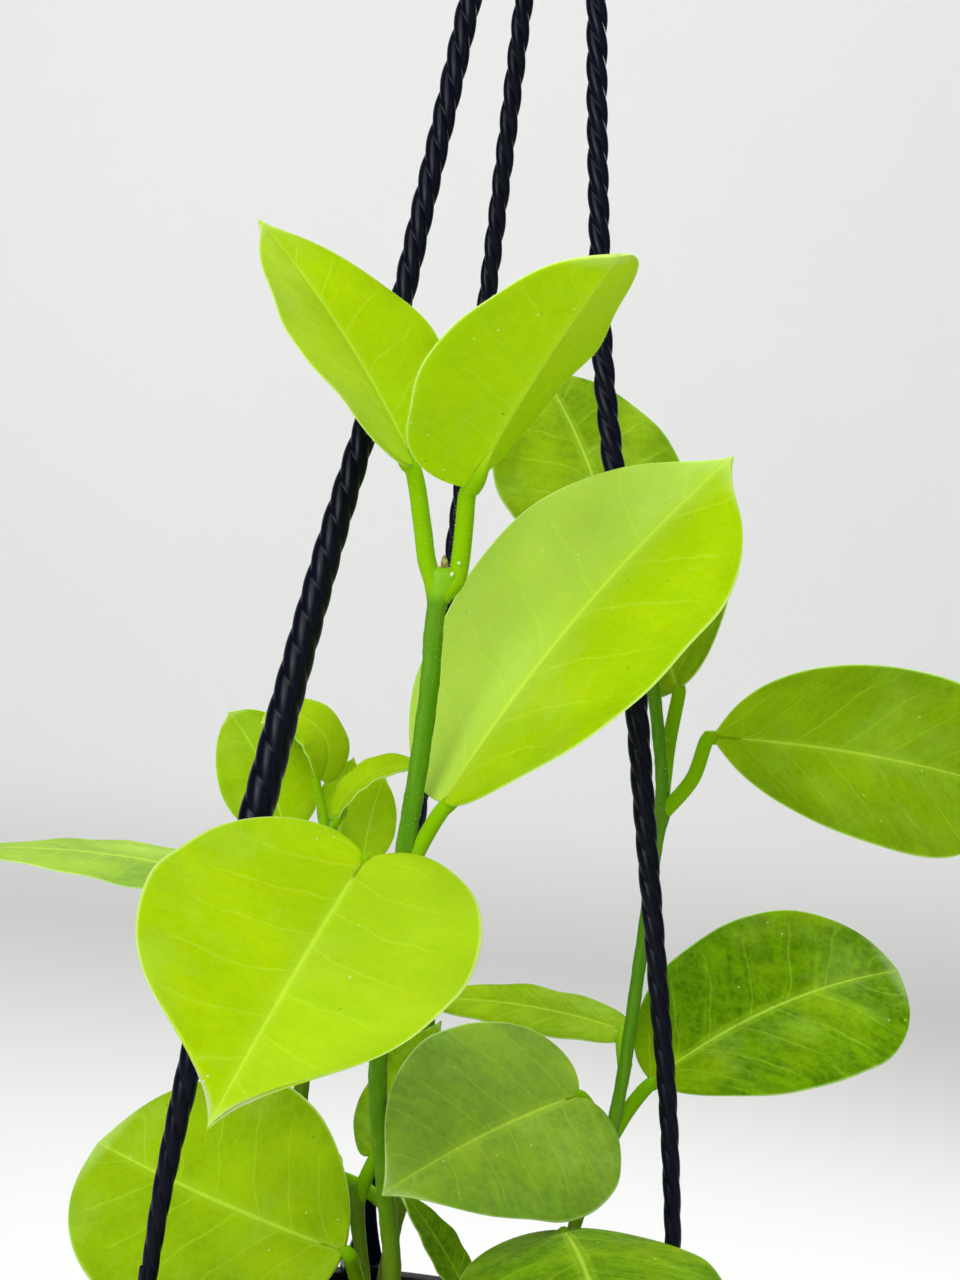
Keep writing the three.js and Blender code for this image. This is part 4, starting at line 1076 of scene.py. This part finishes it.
def makeSoil():
    # a crowned, lumpy surface on a body that follows the pot's inside
    p, rng = pot, np.random.default_rng(soil["seed"])
    waves = rng.uniform(-1, 1, (14, 4)) * (0.55, 0.55, 3.14, 1)
    neck = p["height"] - p["drop"]

    def inside(z):
        share = min((z - p["floor"]) / (neck - p["floor"]), 1)
        return p["base"] + share * (p["neck"] - p["base"]) - p["wall"] - soil["gap"]

    edge = soil["level"] - soil["crown"]
    bottom = p["floor"] + 0.3
    profile = [(0, bottom), (inside(bottom), bottom), (inside(40), 40), (inside(edge) - 0.1, edge - 0.5)]
    reach = inside(edge) - 0.1
    for i in range(soil["rings"]):
        s = 1 - (i + 1) / (soil["rings"] + 1)
        profile.append((reach * s, edge + (soil["level"] + 0.5 - edge) * (1 - s ** 2.5)))
    profile.append((0, soil["level"] + 0.5))
    points, faces = lathe(profile, soil["sides"])
    points = np.array(points, float)
    top = points[:, 2] > edge - 0.4
    rise = sum(h * np.sin(a * points[:, 0] + b * points[:, 1] + c) for a, b, c, h in waves)
    fade = np.clip((reach - np.hypot(points[:, 0], points[:, 1])) / 6, 0, 1)
    points[:, 2] += np.where(top, rise * soil["lump"] * fade, 0)
    return outward(solid("fine_soil", points, faces, soilSurface)), reach, edge


makePot()
ground, reach, edge = makeSoil()


def scatter(name, surface, slot, **sizes):
    # the crumbs lie on a copy of the soil's top
    work = bmesh.new()
    work.from_mesh(ground.data)
    low, wide = (edge - 0.2) * mm, (reach - soil["bare"]) * mm
    off = [f for f in work.faces if f.calc_center_median().z < low or f.normal.z < 0
           or f.calc_center_median().xy.length > wide]
    bmesh.ops.delete(work, geom=off, context="FACES")
    top = bpy.data.meshes.new(name)
    work.to_mesh(top)
    work.free()
    piece = placed(name, top)
    crumbs.grow(piece, Material=surface, **sizes)
    return finished(piece, slot)


scatter("fine_peat_crumbs", soilSurface, "soil", Density=500000.0, Size=0.9 * mm, Spread=1.1 * mm,
        Crook=1.1 * mm, Sink=0.15 * mm, Seed=11)
scatter("fine_bark_crumbs", barkSurface, "soil", Density=22000.0, Size=2.3 * mm, Spread=4.2 * mm,
        Crook=1.9 * mm, Sink=0.1 * mm, Seed=21)
scatter("fine_perlite", perliteSurface, "soil", Density=9000.0, Size=1.2 * mm, Spread=6.5 * mm,
        Crook=0.9 * mm, Sink=-0.2 * mm, Seed=31)
finished(ground, "soil", "soil")
print("pot and soil ready")


# small growth: fine hairs, the bud at the top fork, and sap drops
growth = dict(density=2.2e6, length=0.5, radius=0.022, seed=7)
parts, partFaces, shares, total = [], [], [], 0
for points, faces, share in downy:
    parts.append(points)
    shares.append(share)
    partFaces += [tuple(i + total for i in face) for face in faces]
    total += len(points)
skin = outward(solid("fine_down", np.vstack(parts), partFaces, downSurface,
                     {"down": np.concatenate(shares)}))
down.grow(skin, Density=growth["density"], Length=growth["length"] * mm, Radius=growth["radius"] * mm,
          Seed=growth["seed"], Material=downSurface)
finished(skin, "stem")

buds = [
    dict(at=(-4.35, -35.6, 230.3), axis=(-0.12, -0.1, 1), radius=0.62, length=2.4),
    dict(at=(-5.9, -33, 176.5), axis=(-0.5, -0.4, 1), radius=0.6, length=1.6),
    dict(at=(40.6, 6.6, 192.5), axis=(0.5, 0.2, 1), radius=0.5, length=1.4),
    dict(at=(-23.6, 17.5, 131.6), axis=(-0.5, -0.7, 1), radius=0.7, length=1.8),
]
drops = [
    dict(at=(-3.0, -37.1, 229.2), axis=(0.1, -0.3, 1), radius=0.32, length=0.75),
    dict(at=(-2.0, -37.3, 231.3), axis=(0, -0.3, 1), radius=0.26, length=0.55),
]


def makeBuds(name, buds, surface):
    points, faces = [], []
    for bud in buds:
        axis = np.array(bud["axis"], float) / np.linalg.norm(bud["axis"])
        steps = np.linspace(0, 1, 12)
        line = np.array(bud["at"]) + axis * (steps * bud["length"])[:, None]
        radii = bud["radius"] * np.sin(np.clip(0.25 + steps * 0.72, 0, 1) * math.pi) ** 0.8 + 0.02
        more, moreFaces = tube(line, radii, 14, start=len(points), tipRound=False)
        points += list(more)
        faces += moreFaces
    return finished(outward(solid(name, points, faces, surface)), "stem")


makeBuds("fine_buds", buds, budSurface)
makeBuds("fine_drops", drops, dropSurface)
print("small growth ready")


# plain studio
studio = dict(back=1150, depth=1500, curve=500, side=2600, tall=2200, floor=-1)


def paper():
    paint = Paint("paper", Roughness=0.9, Specular_IOR_Level=0.1)
    tone = paint.noise(1.2, 2, 0.5)
    wall = paint.blend(tone.step(0.3, 0.7), (0.955, 0.96, 0.94), (0.975, 0.98, 0.97))
    # the floor is a darker sheet that fades into the wall
    height = paint.part(paint.place(), "Z").step(-0.03, 0.1)
    paint.feed("Base Color", paint.blend(height, (0.79, 0.795, 0.78), wall))
    return paint.material


def makeStage():
    s = studio
    bend = [(-s["depth"], s["floor"]), (s["back"], s["floor"])]
    bend += [(s["back"] + s["curve"] * math.sin(t), s["floor"] + s["curve"] * (1 - math.cos(t)))
             for t in np.linspace(0.05, math.pi / 2, 24)]
    bend += [(s["back"] + s["curve"], s["tall"])]
    points = [(x, y, z) for y, z in bend for x in (-s["side"], s["side"])]
    faces = [(2 * i, 2 * i + 1, 2 * i + 3, 2 * i + 2) for i in range(len(bend) - 1)]
    solid("backdrop", points, faces, paper())


def lamp(name, place, aim, size, power, shadow=True):
    data = bpy.data.lights.new(name, "AREA")
    data.shape = "DISK"
    data.size = size
    data.energy = power
    data.use_shadow = shadow
    piece = placed(name, data)
    piece.location = place
    piece.rotation_euler = (Vector(aim) - Vector(place)).to_track_quat("-Z", "Y").to_euler()


makeStage()
# places and sizes in metres, power in watts; the glint only draws a soft line on the dark legs
lamp("key", place=(-0.6, -1.5, 1.15), aim=(0, 0, 0.22), size=1.9, power=32)
lamp("glint", place=(-0.62, -1.15, 0.6), aim=(0, 0, 0.25), size=0.3, power=4, shadow=False)
lamp("fill", place=(0.9, -0.8, 0.5), aim=(0, 0, 0.2), size=0.9, power=1.2)
lamp("wash", place=(0, 0.4, 1.8), aim=(0, 1.65, 0.35), size=1.6, power=8.4)
lamp("back", place=(0.2, 0.42, 0.72), aim=(0, -0.1, 0.2), size=0.45, power=3.5)
room = dict(colour=(0.97, 0.98, 1.0, 1), strength=0.19)
world = bpy.data.worlds.new("soft room")
world.use_nodes = True
world.node_tree.nodes["Background"].inputs["Color"].default_value = room["colour"]
world.node_tree.nodes["Background"].inputs["Strength"].default_value = room["strength"]
bpy.context.scene.world = world
bpy.context.scene.view_settings.view_transform = "Standard"
print("studio ready")
